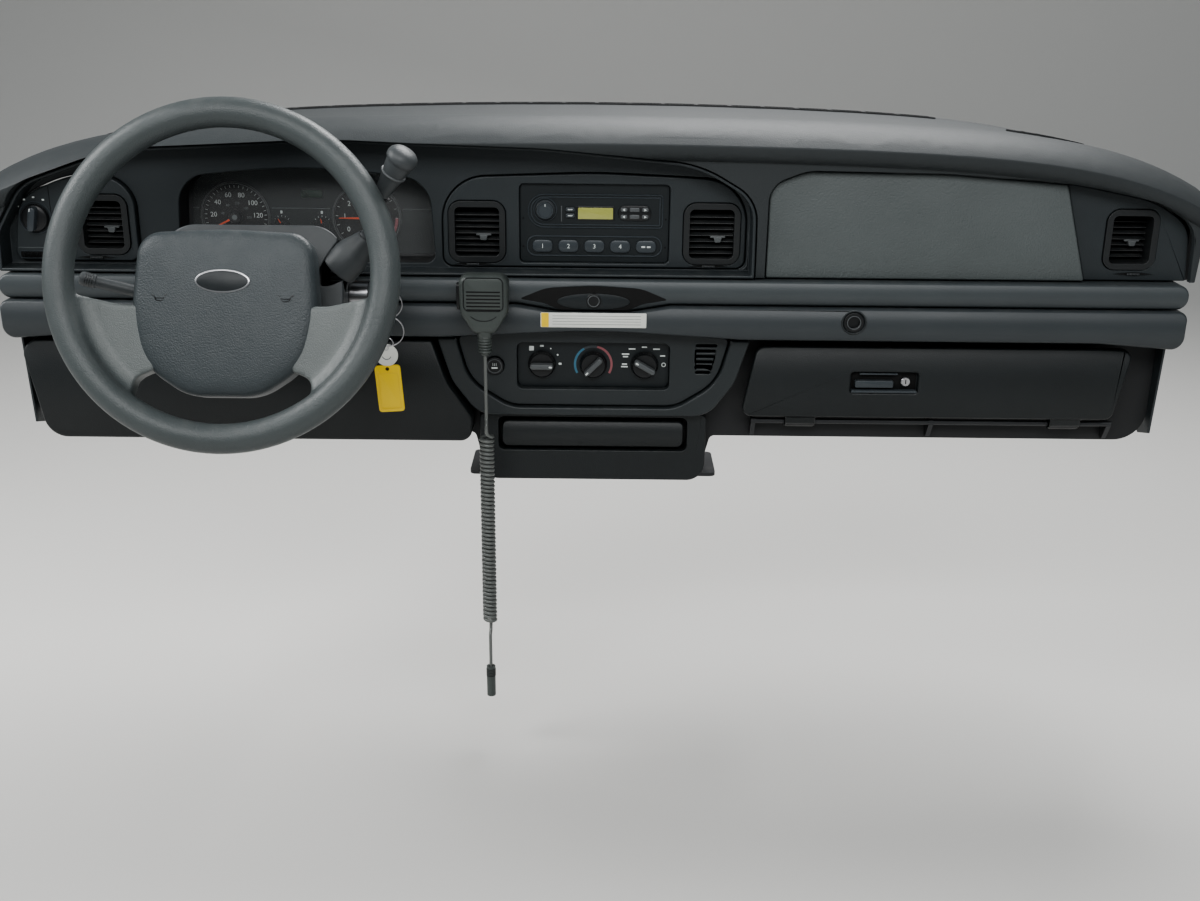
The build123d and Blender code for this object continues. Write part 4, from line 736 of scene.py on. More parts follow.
LOOKS = {
    "pad": dict(colour=(0.028, 0.033, 0.035), rough=0.58, grain=0.3, scale=700, mottle=0.03, dust=0.015,
                rubbed=0.02),
    "trim": dict(colour=(0.026, 0.032, 0.035), rough=0.46, grain=0.25, scale=1100),
    "airbag": dict(colour=(0.084, 0.096, 0.096), rough=0.52, grain=0.8, scale=460, crown=(0.105, 0.45)),
    "rail": dict(colour=(0.056, 0.065, 0.069), rough=0.38, grain=0.18, scale=1200, crown=(0.0225, 0.030)),
    "band": dict(colour=(0.040, 0.047, 0.051), rough=0.40, grain=0.18, scale=1200, crown=(-0.018, 0.040)),
    "surround": dict(colour=(0.024, 0.029, 0.031), rough=0.40, grain=0.2, scale=1200),
    "lower": dict(colour=(0.012, 0.015, 0.016), rough=0.46, grain=0.3, scale=1000),
    "tray": dict(colour=(0.015, 0.018, 0.019), rough=0.42, grain=0.3, scale=1000, crown=(-0.1755, 0.034)),
    "knee": dict(colour=(0.013, 0.016, 0.017), rough=0.46, grain=0.3, scale=1000, crown=(-0.110, 0.16)),
    "door": dict(colour=(0.012, 0.015, 0.016), rough=0.44, grain=0.3, scale=1000, crown=(-0.104, 0.13)),
    "bare": dict(colour=(0.018, 0.019, 0.020), rough=0.6, mottle=0.1),
    "black": dict(colour=(0.010, 0.011, 0.012), rough=0.34, mottle=0.08),
    "vent": dict(colour=(0.022, 0.024, 0.025), rough=0.36, mottle=0.08),
    # Near black that paints shade into holes, slits and recesses, and draws one dark seam
    "shade_and_seam": dict(colour=(0.002, 0.002, 0.002), rough=0.8, mottle=0.0, dust=0.0),
    "face": dict(colour=(0.011, 0.015, 0.017), rough=0.42, grain=0.1, scale=1600),
    "dial": dict(colour=(0.016, 0.021, 0.021), rough=0.7, mottle=0.1, dust=0.0),
    "disc": dict(colour=(0.006, 0.007, 0.007), rough=0.7, mottle=0.0, dust=0.0),
    "satin": dict(colour=(0.16, 0.17, 0.17), rough=0.36, mottle=0.05, metallic=0.4),
    "key": dict(colour=(0.044, 0.053, 0.060), rough=0.34, mottle=0.1),
    "grip": dict(colour=(0.085, 0.092, 0.095), rough=0.38, mottle=0.1),
    "column": dict(colour=(0.052, 0.058, 0.061), rough=0.46, grain=0.25, scale=1100),
    "steel": dict(colour=(0.050, 0.052, 0.055), rough=0.45, metallic=0.6),
    "bright": dict(colour=(0.45, 0.45, 0.46), rough=0.3, metallic=1.0),
    "print": dict(colour=(0.62, 0.66, 0.64), rough=0.5, mottle=0.05, dust=0.0),
    "faint": dict(colour=(0.16, 0.18, 0.18), rough=0.5, mottle=0.05, dust=0.0),
    "amber": dict(colour=(0.75, 0.10, 0.03), rough=0.4, mottle=0.03, dust=0.0),
    "cold": dict(colour=(0.05, 0.15, 0.22), rough=0.45, mottle=0.05, dust=0.0),
    "warm": dict(colour=(0.26, 0.09, 0.10), rough=0.45, mottle=0.05, dust=0.0),
    "display": dict(colour=(0.36, 0.37, 0.10), rough=0.25, mottle=0.06, dust=0.0, coat=0.6),
    "counter": dict(colour=(0.010, 0.035, 0.018), rough=0.2, mottle=0.05, dust=0.0, coat=0.6),
    "label": dict(colour=(0.66, 0.67, 0.63), rough=0.5, mottle=0.06, dust=0.2),
    "yellow": dict(colour=(0.80, 0.56, 0.04), rough=0.4, mottle=0.06),
    # The lead's dark grey jacket is painted paler: a painted highlight for the light along the glossy cord
    "jacket": dict(colour=(0.12, 0.128, 0.122), rough=0.32, mottle=0.08, coat=0.3),
    "mic": dict(colour=(0.058, 0.068, 0.064), rough=0.42, grain=0.2),
}


def look(key):
    """The material of that key."""
    return finish(key + "_finish", **LOOKS[key])


# Operators

# The camera's place in metres, its dip and roll in degrees, and its lens and film in millimetres
CAMERA_PLACE, CAMERA_DIP, CAMERA_ROLL = (0.010, -1.850, 0.400), 19.4, 0.6
CAMERA_LENS, CAMERA_FILM = 40.5, 36.0
# The backdrop in metres: how far it reaches, where it starts to rise, the radius of its bend and its height
FLOOR_REACH, FLOOR_BACK, FLOOR_BEND, FLOOR_RISE, BEND_STEPS = 16.0, 2.5, 1.5, 5.0, 16
LAMP_HEIGHT = 0.9  # the most that a lamp's face is high
ROOM_COLOUR, ROOM_STRENGTH = (0.80, 0.86, 0.90, 1), 0.28


class PANEL_OT_stage(bpy.types.Operator):
    """Floor, soft lights and the camera"""
    bl_idname = "panel.stage"
    bl_label = "Stage"

    def execute(self, context):
        sizes, scene = context.scene.panel_stage, context.scene
        camera = bpy.data.objects.new("camera", bpy.data.cameras.new("camera"))
        scene.collection.objects.link(camera)
        camera.data.sensor_width = CAMERA_FILM
        camera.data.lens = CAMERA_LENS
        camera.data.clip_end = 50.0
        tilt = Matrix.Rotation(math.radians(90.0 - CAMERA_DIP), 4, "X")
        camera.matrix_world = Matrix.Translation(CAMERA_PLACE) @ tilt @ turned(CAMERA_ROLL)
        scene.camera = camera

        material = bpy.data.materials.new("studio_floor")
        material.use_nodes = True
        shader = material.node_tree.nodes["Principled BSDF"]
        shader.inputs["Base Color"].default_value = (*sizes.floor_colour, 1)
        shader.inputs["Roughness"].default_value = 0.85
        rows = [(-FLOOR_REACH, 0.0), (FLOOR_BACK, 0.0)]
        for step in range(1, BEND_STEPS + 1):
            angle = math.pi / 2 * step / BEND_STEPS
            rows.append((FLOOR_BACK + FLOOR_BEND * math.sin(angle), FLOOR_BEND * (1 - math.cos(angle))))
        rows.append((FLOOR_BACK + FLOOR_BEND, FLOOR_RISE))
        points = [(x, y, z + sizes.floor_height) for y, z in rows for x in (-FLOOR_REACH, FLOOR_REACH)]
        mesh = bpy.data.meshes.new("floor")
        mesh.from_pydata(points, [], [(2 * i, 2 * i + 1, 2 * i + 3, 2 * i + 2) for i in range(len(rows) - 1)])
        mesh.shade_smooth()
        mesh.materials.append(material)
        floor = bpy.data.objects.new("floor", mesh)
        scene.collection.objects.link(floor)

        # Name, place and aim in metres, width in metres, power
        for name, place, aim, size, power in (
            ("windscreen_light", (0.5, 0.95, 1.75), (0.0, -0.25, 0.1), 1.6, sizes.key_power),
            ("left_light", (-1.9, -0.6, 1.3), (-0.3, -0.3, 0.1), 0.9, sizes.key_power * 0.55),
            ("fill_light", (0.0, -2.3, 1.55), (0.0, -0.2, 0.0), 3.0, sizes.fill_power),
        ):
            light = bpy.data.lights.new(name, "AREA")
            light.shape = "RECTANGLE"
            light.size = size
            light.size_y = min(size, LAMP_HEIGHT)
            light.energy = power
            lamp = bpy.data.objects.new(name, light)
            scene.collection.objects.link(lamp)
            lamp.location = place
            lamp.rotation_mode = "QUATERNION"
            lamp.rotation_quaternion = (Vector(aim) - Vector(place)).to_track_quat("-Z", "Y")
        world = bpy.data.worlds.new("soft_room")
        world.use_nodes = True
        room = world.node_tree.nodes["Background"]
        room.inputs["Color"].default_value = ROOM_COLOUR
        room.inputs["Strength"].default_value = ROOM_STRENGTH
        scene.world = world
        scene.view_settings.view_transform = "AgX"
        scene.view_settings.look = "AgX - Medium High Contrast"
        return {"FINISHED"}


class PANEL_OT_mouldings(bpy.types.Operator):
    """The padded top and the mouldings, with their edges rounded"""
    bl_idname = "panel.mouldings"
    bl_label = "Mouldings"

    def execute(self, context):
        eased("top_pad", 0.0012, look("pad"), segments=2)
        eased("driver_bezel", 0.0016, look("trim"), join=False)
        # Node, radius of its edges in metres, slot, look
        for name, width, slot, key in (
            ("switch_panel", 0.0018, "trim_plastic", "trim"),
            ("centre_panel", 0.0018, "trim_plastic", "trim"),
            ("end_panel", 0.0018, "trim_plastic", "trim"),
            ("end_caps", 0.0008, "trim_plastic", "trim"),
            ("airbag_door", 0.0024, "airbag_skin", "airbag"),
            ("trim_rail", 0.0028, "rail_plastic", "rail"),
            ("lower_band", 0.0028, "rail_plastic", "band"),
            ("stack_surround", 0.0028, "rail_plastic", "surround"),
            ("knee_panel", 0.0028, "lower_plastic", "knee"),
            ("lower_centre", 0.0018, "lower_plastic", "lower"),
            ("climate_bezel", 0.0016, "lower_plastic", "surround"),
            ("ash_tray", 0.0020, "lower_plastic", "tray"),
            ("glove_door", 0.0030, "lower_plastic", "door"),
        ):
            eased(name, width, look(key))
        dress(["glove_bin"], look("lower"))
        dress(["carrier", "lower_carrier", "gauge_housing", "tray_sleeve", "air_duct", "demister_inserts"],
              look("bare"))
        dress(["cross_beam", "tunnel_brace", "column_bracket", "glove_hinge", "column_jacket", "tilt_head"],
              look("steel"))
        dress(["steering_shaft", "lower_shaft"], look("bright"))
        return {"FINISHED"}


def blade(start, end, root, tip):
    """Outline of a needle between two radii, with its half width at each."""
    return [Vector((start, -root)), Vector((end, -tip)), Vector((end, tip)), Vector((start, root))]


SPEED_X, ENGINE_X = -471.0, -299.0
# x, angle of nought, turn for each number, numbers, ticks for each number, angle of the needle
DIALS = [(SPEED_X, 210.0, -34.5, range(0, 141, 20), 4, 206.6),
         (ENGINE_X, 212.0, -35.4, range(0, 8), 2, 180.0)]
# x and angle of the needle
SMALL_DIALS, SMALL_HEIGHT = [(-411.0, 120.0), (-358.0, 100.0)], 86.5
COUNTER = (-370, 127)


class PANEL_OT_gauges(bpy.types.Operator):
    """Dials with their numbers, ticks, rims and needles"""
    bl_idname = "panel.gauges"
    bl_label = "Gauges"

    def execute(self, context):
        white, faint, black, amber = look("print"), look("faint"), look("black"), look("amber")
        dress(["dial_plate"], look("dial"))
        marks = Piece("gauge_print", "root", "dial_face")
        needles = Piece("gauge_needles", "root", "needle_red", ["needles"])
        for x, nought, turn, numbers, ticks, angle in DIALS:
            dial = placed(x, DIAL_FACE, DIAL_HEIGHT)
            for index, number in enumerate(numbers):
                marks.add(letters(str(number), 9.0), white, dial, *along(29.0, nought + turn * index), 0.15)
            marks.ring(tile(39.2, 0, 3.6, 0.9, 0.2, 0.3), (len(numbers) - 1) * ticks + 1, white, dial,
                       turn / ticks, nought)
            marks.add(ridge(circle(45.6, 72), 3.4, 4.8), look("satin"), dial)
            marks.add(plate(circle(42.6, 72), 0.1, 0.0), look("disc"), dial)
            needles.add(plate(blade(6, 36, 1.4, 0.6), 1.2, 0.3), amber, dial @ turned(angle), z=4.5)
            needles.add(lathe([(8.4, 0), (8.4, 5.6), (7.4, 6.9), (0, 7.2)]), black, dial)
            needles.add(lathe([(3.4, 6.0), (3.4, 7.5), (0, 7.6)]), faint, dial)
        speed, engine = (placed(x, DIAL_FACE, DIAL_HEIGHT) for x in (SPEED_X, ENGINE_X))
        for index in range(6):
            marks.add(letters(str(40 * index), 4.4), faint, speed, *along(17.4, 210.0 - 42.9 * index), 0.15)
        marks.add(arc_band(37.4, 41.0, -36.0, -0.4, 0.3), look("warm"), engine)
        for x, angle in SMALL_DIALS:
            dial = placed(x, DIAL_FACE, SMALL_HEIGHT)
            marks.ring(tile(11.0, 0, 2.6, 0.7, 0.2, 0.3), 5, white, dial, 25.0, 40.0)
            marks.add(tile(0, 16.4, 3.0, 4.0, 0.6, 0.3), white, dial)
            needles.add(plate(blade(2, 9.4, 0.8, 0.4), 0.9, 0.2), amber, dial @ turned(angle), z=2.2)
            needles.add(lathe([(3.4, 0), (3.4, 3.0), (0, 3.5)], 24), black, dial)
        face = placed(0, DIAL_FACE, 0)
        marks.add(ridge(filleted(box_rows(*COUNTER, 31, 13, 2)), 1.4, 0.9), look("face"), face)
        marks.add(tile(*COUNTER, 28, 10, 1.4, 0.5), look("counter"), face)
        for x, width in ((-385, 76), (-229, 46), (-522.5, 9)):
            marks.add(tile(x, 108, width, 0.8, 0.2, 0.5), faint, face)
        marks.close()
        needles.close()
        lens = bpy.data.materials.new("lens_clear")
        lens.use_nodes = True
        shader = lens.node_tree.nodes["Principled BSDF"]
        shader.inputs["Base Color"].default_value = (0.9, 0.92, 0.93, 1)
        shader.inputs["Roughness"].default_value = 0.06
        shader.inputs["Alpha"].default_value = 0.04
        dress(["gauge_lens"], lens)
        return {"FINISHED"}


RADIO_KNOB, DISPLAY = (-62.5, 119), (1.2, 114.8)
KEY_ROW, FIRST_KEY, KEY_PITCH = 73, -66, 33
RIGHT_KEYS, RIGHT_PITCH = 50.7, 13.5


class PANEL_OT_radio(bpy.types.Operator):
    """Radio face with its knob, keys and display"""
    bl_idname = "panel.radio"
    bl_label = "Radio"

    def execute(self, context):
        key, white, black, grip = look("key"), look("print"), look("black"), look("grip")
        eased("radio", 0.0008, look("face"))
        face = placed(0, RADIO_FACE, 0)
        piece = Piece("radio_keys", "root", "control_plastic", ["radio_controls"])
        upper = filleted([(-84.6, 96, 21), (87, 96, 5), (87, 139, 5), (-84.6, 139, 21)])
        # Rims round the upper half and round the row of keys
        for amount, depth in ((0.0, 1.6), (3.4, 1.2)):
            piece.add(ridge(inset(upper, amount), 1.6, depth), key, face)
        piece.add(ridge(filleted(box_rows(0, KEY_ROW, 173, 26.6, 12)), 1.8, 1.4), key, face)
        # Five keys: four with a number, and the last with two bars
        broad = tile(0, 0, 26, 16, 6.5, 3.2, 1.6)
        piece.row(broad, 5, (KEY_PITCH, 0, 0), (FIRST_KEY, KEY_ROW, 0), key, face)
        for index in range(4):
            x = FIRST_KEY + KEY_PITCH * index
            piece.add(letters(str(index + 1), 8.0), white, face, x, KEY_ROW, 3.2)
        piece.row(tile(0, 0, 5.0, 2.2, 0.5, 3.5, 0.2), 2, (7, 0, 0), (62.5, KEY_ROW, 0), white, face)
        # Knob with its grips and its mark
        knob = on_front(RADIO_KNOB, RADIO_FACE)
        piece.add(ridge(circle(15.0), 1.4, 1.0), key, knob)
        piece.add(lathe([(12.2, 0), (12.2, 1.4), (11.0, 2.2), (11.0, 7.6), (10.2, 9.0), (8.9, 9.0),
                         (8.2, 8.0), (0, 7.8)]), key, knob)
        piece.ring(tile(11.1, 0, 1.0, 1.0, 0.2, 7.4, 0.3), 36, grip, knob)
        piece.add(tile(0, 6.4, 1.0, 3.4, 0.3, 8.3, 0.2), white, knob)
        # Bar and two small keys beside the knob
        piece.add(tile(-42, 114, 1.6, 20, 0.6, 0.8), grip, face)
        for size, material in (((11.7, 5, 2, 3.0, 0.8), key), ((6.0, 1.1, 0.3, 3.15, 0.1), white)):
            piece.row(tile(0, 0, *size), 2, (0, -7.7, 0), (-31, 119.7, 0), material, face)
        piece.add(tile(*DISPLAY, 49, 18.6, 3, 0.9), black, face)
        piece.add(tile(*DISPLAY, 44.4, 14.4, 1, 1.3, 0.2), look("display"), face)
        # Right keys, of which the outer ones have arrows
        piece.add(tile(RIGHT_KEYS, 115.7, 42, 19, 9.3, 2.2, 0.8), black, face)
        for height in (111.3, 120.1):
            small = tile(0, 0, 8.5, 5.2, 2.2, 3.4, 0.8)
            first = (RIGHT_KEYS - RIGHT_PITCH, height, 0)
            piece.row(small, 2, (2 * RIGHT_PITCH, 0, 0), first, grip, face)
            piece.add(tile(RIGHT_KEYS, height, 12.6, 5.2, 1.4, 3.2, 0.8), grip, face)
            for side in (-1, 1):
                arrow = [Vector((side * 1.8, 0)), Vector((-side * 1.2, 1.6)), Vector((-side * 1.2, -1.6))]
                piece.add(plate(arrow, 0.3, 0.0), white, face, RIGHT_KEYS + side * RIGHT_PITCH, height, 3.3)
        # Holes for the tool that draws the radio out, as black discs of painted shade
        for x in (-90.5, 90.5):
            for height in (72, 108):
                piece.add(lathe([(1.3, 0), (1.3, 0.15), (0, 0.15)], 16), look("shade_and_seam"), face, x, height)
        piece.close()
        return {"FINISHED"}


class PANEL_OT_vents(bpy.types.Operator):
    """Vents with their tabs and thumb wheels"""
    bl_idname = "panel.vents"
    bl_label = "Vents"

    def execute(self, context):
        black, grip, shade_and_seam = look("black"), look("grip"), look("shade_and_seam")
        for name in ("left_vent", "left_centre_vent", "right_centre_vent", "right_vent"):
            eased(name, 0.0006, look("vent"), segments=2)
        piece = Piece("vent_controls", "root", "control_plastic")
        for x, height, panel, wheel_height, aside in VENTS:
            tab = placed(x + 8, -133.5, height - 4)
            piece.add(tile(0, 0, 19.5, 2.6, 1.2, 5.0, 0.6), grip, tab)
            stem = filleted([(-3.5, -7, 1.5), (3.5, -7, 1.5), (5.5, 0, 1), (-5.5, 0, 1)])
            piece.add(plate(stem, 7.0, 0.8), grip, tab)
            # Thumb wheel in its eye-shaped slot, the slot a black sheet of painted shade
            slot = placed(x - aside, panel, wheel_height)
            eye = filleted([(-24, 0, 0), (0, -2.6, 200), (24, 0, 0), (0, 2.6, 200)])
            piece.add(plate(eye, 0.3, 0.0), shade_and_seam, slot)
            piece.add(ridge(inset(eye, -0.8), 0.8, 0.7), look("trim"), slot)
            piece.add(tile(0, 0, 17, 2.6, 1.2, 2.0, 0.5), black, slot)
            piece.row(tile(0, 0, 0.8, 2.4, 0.2, 2.6, 0.2), 9, (1.8, 0, 0), (-7.2, 0, 0), grip, slot)
        piece.close()
        return {"FINISHED"}


# Places across and up
HEADLAMP_KNOB, DIMMER, DIMMER_MARK, SOCKET = (-706, 104), (-716, 57), (-694, 57), (330, -12)
LIGHTER_PLACE, BUTTON_PLACE = (-128, -162, -80), (0, -178, 11)


class PANEL_OT_switches(bpy.types.Operator):
    """Headlamp knob, dimmer, lighter, socket and the button on the rail"""
    bl_idname = "panel.switches"
    bl_label = "Switches"

    def execute(self, context):
        black, key, white, grip, shade_and_seam = (look(name) for name in ("black", "key", "print", "grip", "shade_and_seam"))
        knob = on_front(HEADLAMP_KNOB, SWITCH_FACE)
        piece = Piece("headlamp_switch", "root", "control_plastic", ["headlamp_knob"])
        piece.add(ridge(circle(21.0), 1.6, 1.2), key, knob)
        piece.add(lathe([(17, 0.5), (17, 4.5), (16.2, 6.0), (14, 6.8), (12.5, 7.4), (0, 7.6)]), black, knob)
        piece.ring(tile(17.0, 0, 1.0, 1.4, 0.2, 4.6, 0.3), 32, black, knob)
        piece.add(tile(0, 0, 9.5, 31, 4.4, 17.0, 2.4, -10), key, knob)
        piece.add(tile(0, 12, 1.2, 4.0, 0.4, 17.15, 0.1, -10), white, knob)
        for angle in (62, 90, 118, 146):
            piece.add(tile(*along(25.5, angle), 3.4, 2.2, 0.8, 0.3), white, knob)
        # Line across the panel and its upright joint, a dark seam
        face = placed(0, SWITCH_FACE, 0)
        piece.add(tile(-712, 66, 42, 0.7, 0.2, 0.3), look("faint"), face)
        piece.add(tile(-686, 102, 0.9, 84, 0.2, 0.15), shade_and_seam, face)
        # Dimmer with its rim and ribs, in a recess of painted shade
        dimmer = on_front(DIMMER, SWITCH_FACE)
        piece.add(tile(0, 0, 29, 8, 1.5, 0.3), shade_and_seam, dimmer)
        piece.add(ridge(filleted(box_rows(0, 0, 31, 10, 2.4)), 1.2, 0.9), key, dimmer)
        piece.row(tile(0, 0, 1.0, 6.6, 0.3, 2.4, 0.4), 11, (1.9, 0, 0), (-9.5, 0, 0), black, dimmer)
        piece.ring(tile(2.6, 0, 1.4, 0.5, 0.1, 0.3), 8, white, on_front(DIMMER_MARK, SWITCH_FACE))
        piece.close()

        eased("climate_face", 0.0006, look("face"))
        for name in ("lighter", "socket_cap", "release_button"):
            eased(name, 0.001, black)
        piece = Piece("switch_marks", "root", "control_plastic")
        lighter = placed(*LIGHTER_PLACE)
        piece.add(ridge(circle(9.6), 1.2, 0.5), grip, lighter)
        piece.add(tile(0, -2.4, 8.0, 2.2, 0.5, 0.3), white, lighter)
        piece.row(tile(0, 0, 0.8, 4.0, 0.3, 0.3), 3, (2.2, 0, 0), (-2.2, 2.2, 0), white, lighter)
        piece.add(ridge(circle(16.0), 2.0, 1.2), look("rail"), on_front(SOCKET, BAND_FACE))
        piece.add(ridge(circle(9.0), 1.2, 0.5), grip, on_front(SOCKET, BAND_FACE - 1.5))
        piece.add(ridge(circle(7.6), 1.2, 0.5), grip, placed(*BUTTON_PLACE))
        # Dark recess on the rail as a sheet of painted shade, with the button's oval in it
        rail = placed(0, RAIL_FACE, 0)
        piece.add(plate(filleted(EYE), 0.25, 0.0), shade_and_seam, rail)
        piece.add(plate(oval(46, 10.5, 10), 1.0, 0.6), look("face"), rail)
        piece.close()
        return {"FINISHED"}


KNOB_HEIGHT = -80
# Place across, turn of the grip in degrees, which end carries the mark
CLIMATE_KNOBS = [(-67, 0, 1), (0, 45, -1), (67, -30, -1)]
# Plain marks in place of the symbols: x, y, width, height
MARKS = [(-80.6, 20.6, 6.4, 6.4), (-67, 24.0, 5.0, 2.6), (-55.5, 20.4, 2.0, 2.0), (-46.6, 12.0, 2.4, 2.4),
         (-43.4, 0.0, 4.0, 3.0)]
# Plain bars in place of the words: x, y, width
BARS = [(42.0, 14.0, 10.0), (42.0, 10.6, 7.0), (40.8, 0.4, 7.0), (40.8, -3.0, 9.0), (50.4, 21.0, 9.0),
        (66.4, 23.6, 7.0), (82.2, 21.0, 9.0), (90.4, 12.0, 7.0)]


class PANEL_OT_climate(bpy.types.Operator):
    """Climate panel with its knobs and marks, and the blank sticker above it"""
    bl_idname = "panel.climate"
    bl_label = "Climate panel"

    def execute(self, context):
        white, black, grip = look("print"), look("black"), look("grip")
        piece = Piece("climate_controls", "root", "control_plastic", ["climate_knobs"])
        for x, turn, end in CLIMATE_KNOBS:
            knob = placed(x, CLIMATE_FACE, KNOB_HEIGHT)
            body = [(18.0, 0), (18.0, 2.6), (16.8, 4.2), (16.2, 8.2), (15.0, 9.6), (0, 9.8)]
            piece.add(lathe(body, 48), black, knob)
            piece.ring(tile(16.4, 0, 1.0, 1.2, 0.2, 8.0, 0.3), 30, black, knob)
            bar = filleted(box_rows(0, 0, 30.4, 7.2, 3.2))
            piece.add(plate(bar, 19.0, 2.0), grip, knob @ turned(turn))
            piece.add(tile(end * 11.4, 0, 4.4, 2.2, 1.0, 19.15, 0.1), white, knob @ turned(turn))
        face = placed(0, CLIMATE_FACE, KNOB_HEIGHT)
        for tone, start, stop in (("cold", 120, 210), ("key", 78, 120), ("warm", -30, 78)):
            piece.add(arc_band(22.4, 25.4, start, stop, 0.3), look(tone), face)
        for x, y, width, height in MARKS:
            piece.add(tile(x, y, width, height, 0.8, 0.3), white, face)
        for x, y, width in BARS:
            piece.add(tile(x, y, width, 2.0, 0.6, 0.3), white, face)
        piece.add(ridge(circle(3.0, 20), 1.0, 0.3), white, face, 92.0, 0.0)
        piece.close()

        sticker = Piece("blank_sticker", "root", "tag_plastic")
        front = placed(0, BAND_FACE, -12.6)
        sticker.add(tile(0, 0, 134, 19.0, 1.2, 0.3, 0.1), look("label"), front)
        sticker.add(tile(-61.4, 0, 9.6, 18.4, 0.8, 0.4, 0.05), look("yellow"), front)
        sticker.row(tile(0, 0, 112, 0.5, 0.1, 0.4, 0.05), 4, (0, -3.6, 0), (4, 5.4, 0), look("faint"), front)
        sticker.close()
        return {"FINISHED"}


# Cell size of the wheel's skin in metres, and how often the skin is smoothed
RIM_VOXEL, RIM_PASSES = 0.0024, 10
# The horn mark's outline: corner x, corner y, corner radius
HORN = [(-6.5, 2.4, 0.4), (-3.4, -2.6, 2), (3.4, -2.6, 2), (6.5, 2.4, 0.4), (3.2, 1.0, 1), (-3.2, 1.0, 1)]
# Bow and shaft of the key: corner x, corner y, corner radius
KEY = [(0, -4, 1), (8, -4, 1), (9, -10, 5), (26, -10, 7), (26, 10, 7), (9, 10, 5), (8, 4, 1), (0, 4, 1)]
# Point and direction of the lever's knob, of the stalk's tip, and of the lock's rim
LEVER_TOP, LEVER_WAY = (-212, -330, 208), (24, -12, 38)
STALK_TIP, STALK_WAY = (-594, -306, 62), (-64, -14, 20)
LOCK_PLACE, LOCK_WAY = (-268.8, -252, 34), (1, 0, 0)
# The key rings: x, z, radius, and how many degrees further each leans
RINGS = [(-250, 20, 17.2, 0), (-250, -14, 18.2, 4), (-253, -30, 7.5, -10)]
RING_FACE, TAG_FACE = -243.4, -242.4
HUB_ANGLE = 50  # degrees from which an edge of the hub cover stays sharp in the shading


class PANEL_OT_column(bpy.types.Operator):
    """Steering wheel, hub cover, shroud, stalk, lever and keys"""
    bl_idname = "panel.column"
    bl_label = "Steering column"

    def execute(self, context):
        grip, black, bright, column = look("grip"), look("black"), look("bright"), look("column")
        # Spokes painted paler than the rim: a painted highlight
        blended("wheel_rim", RIM_VOXEL, RIM_PASSES,
                finish("wheel_urethane", (0.060, 0.070, 0.071), 0.40, grain=0.5, scale=780,
                       spoke_highlight=(0.110, 0.122, 0.120)))
        hub = finish("hub_skin", (0.041, 0.050, 0.054), 0.44, grain=0.6, scale=620)
        mesh = skin(domed(filleted(HUB, 10), HUB_SECTION, HUB_MIDDLE, HUB_HALF))
        mesh.transform(on_wheel(0, 0, 0))
        soft_shade(mesh, HUB_ANGLE)
        add_piece("hub_cover_skin", mesh, "steering_wheel", hub, ["hub_cover"])
        piece = Piece("hub_badge", "steering_wheel", "hub_skin")
        badge = oval(30.5, 13.2)
        piece.add(plate(badge, 1.6, 0.8), bright, on_wheel(0, -6, -3.2))
        piece.add(plate(inset(badge, 1.8), 0.5, 0.3), look("face"), on_wheel(0, -6, -1.7))
        for x in (-70, 70):
            mark = on_wheel(x, -26, -4.2)
            piece.add(ridge(filleted(HORN, 4), 0.8, 1.1), black, mark)
            for side in (-1, 1):
                piece.add(stroke((side * 5.6, 3.0), (side * 8.6, 5.0), 0.8, 1.1), black, mark)
        piece.close()

        for name in ("wheel_back", "column_shroud", "turn_stalk", "shift_lever"):
            eased(name, 0.003, column)
        piece = Piece("column_trim", "tilt_head", "shroud_plastic")
        lever = aimed(LEVER_TOP, LEVER_WAY)
        piece.add(lathe([(16.4, -7), (17.9, -5), (18.1, -1.5), (17.0, 2.5), (13.5, 6.2), (8, 8.6), (0, 9.4)]),
                  column, lever)
        piece.add(torus(13.6, 1.5), grip, lever, 0, 0, -24)
        piece.add(torus(8.6, 1.4), black, lever, 0, 0, -56)
        stalk = aimed(STALK_TIP, STALK_WAY)
        piece.add(lathe([(7.4, -16), (8.4, -15), (8.4, -2), (7.2, 1.6), (4, 3.4), (0, 4)]), column, stalk)
        piece.row(torus(8.3, 0.5, 36, 6), 4, (0, 0, -2.6), (0, 0, -4), black, stalk)
        piece.add(torus(15.2, 1.6, 48), column, aimed(LOCK_PLACE, LOCK_WAY))
        piece.close()

        eased("ignition_lock", 0.0012,
              finish("lock_plate", (0.32, 0.32, 0.33), 0.3, metallic=1.0))
        piece = Piece("keys", "tilt_head", "tag_plastic", ["key_tags"])
        piece.add(plate(filleted(KEY), 3.0, 0.8), black, level(-269, -252, 32.6))
        for x, z, radius, lean in RINGS:
            ring = placed(x, RING_FACE - 0.2 * lean, z) @ Matrix.Rotation(math.radians(6 + lean), 4, "Y")
            piece.add(torus(radius, 0.9), bright, ring)
        # Pale disc with a plain arc in place of its writing, and the yellow tag
        disc = placed(-254, TAG_FACE, -44)
        piece.add(lathe([(14, 0), (14, 1.5), (13.4, 2.0), (12.4, 1.7), (0, 1.7)], 48), look("label"), disc)
        piece.add(ridge(circle(3.0, 24), 0.8, 2.2), bright, disc, 0, 9.0)
        piece.add(arc_band(5.0, 6.0, 200, 340, 2.0), look("faint"), disc)
        tag = placed(-252, TAG_FACE, -87) @ turned(4)
        yellow = finish("tag_yellow", tuple(context.scene.panel_colours.tag), 0.4, mottle=0.06)
        piece.add(tile(0, 0, 32, 60, 4, 2.0, 0.6), yellow, tag)
        piece.add(ridge(filleted(box_rows(0, -3, 25, 46, 2)), 0.7, 2.3), look("yellow"), tag)
        # Hole of the tag, a black disc of painted shade
        piece.add(lathe([(2.3, 0), (2.3, 2.1), (0, 2.1)], 24), look("shade_and_seam"), tag, 0, 25.6)
        piece.add(ridge(circle(3.4, 24), 1.0, 2.5), look("yellow"), tag, 0, 25.6)
        piece.close()
        return {"FINISHED"}


MIC_PLACE = (-135.5, -211.0)
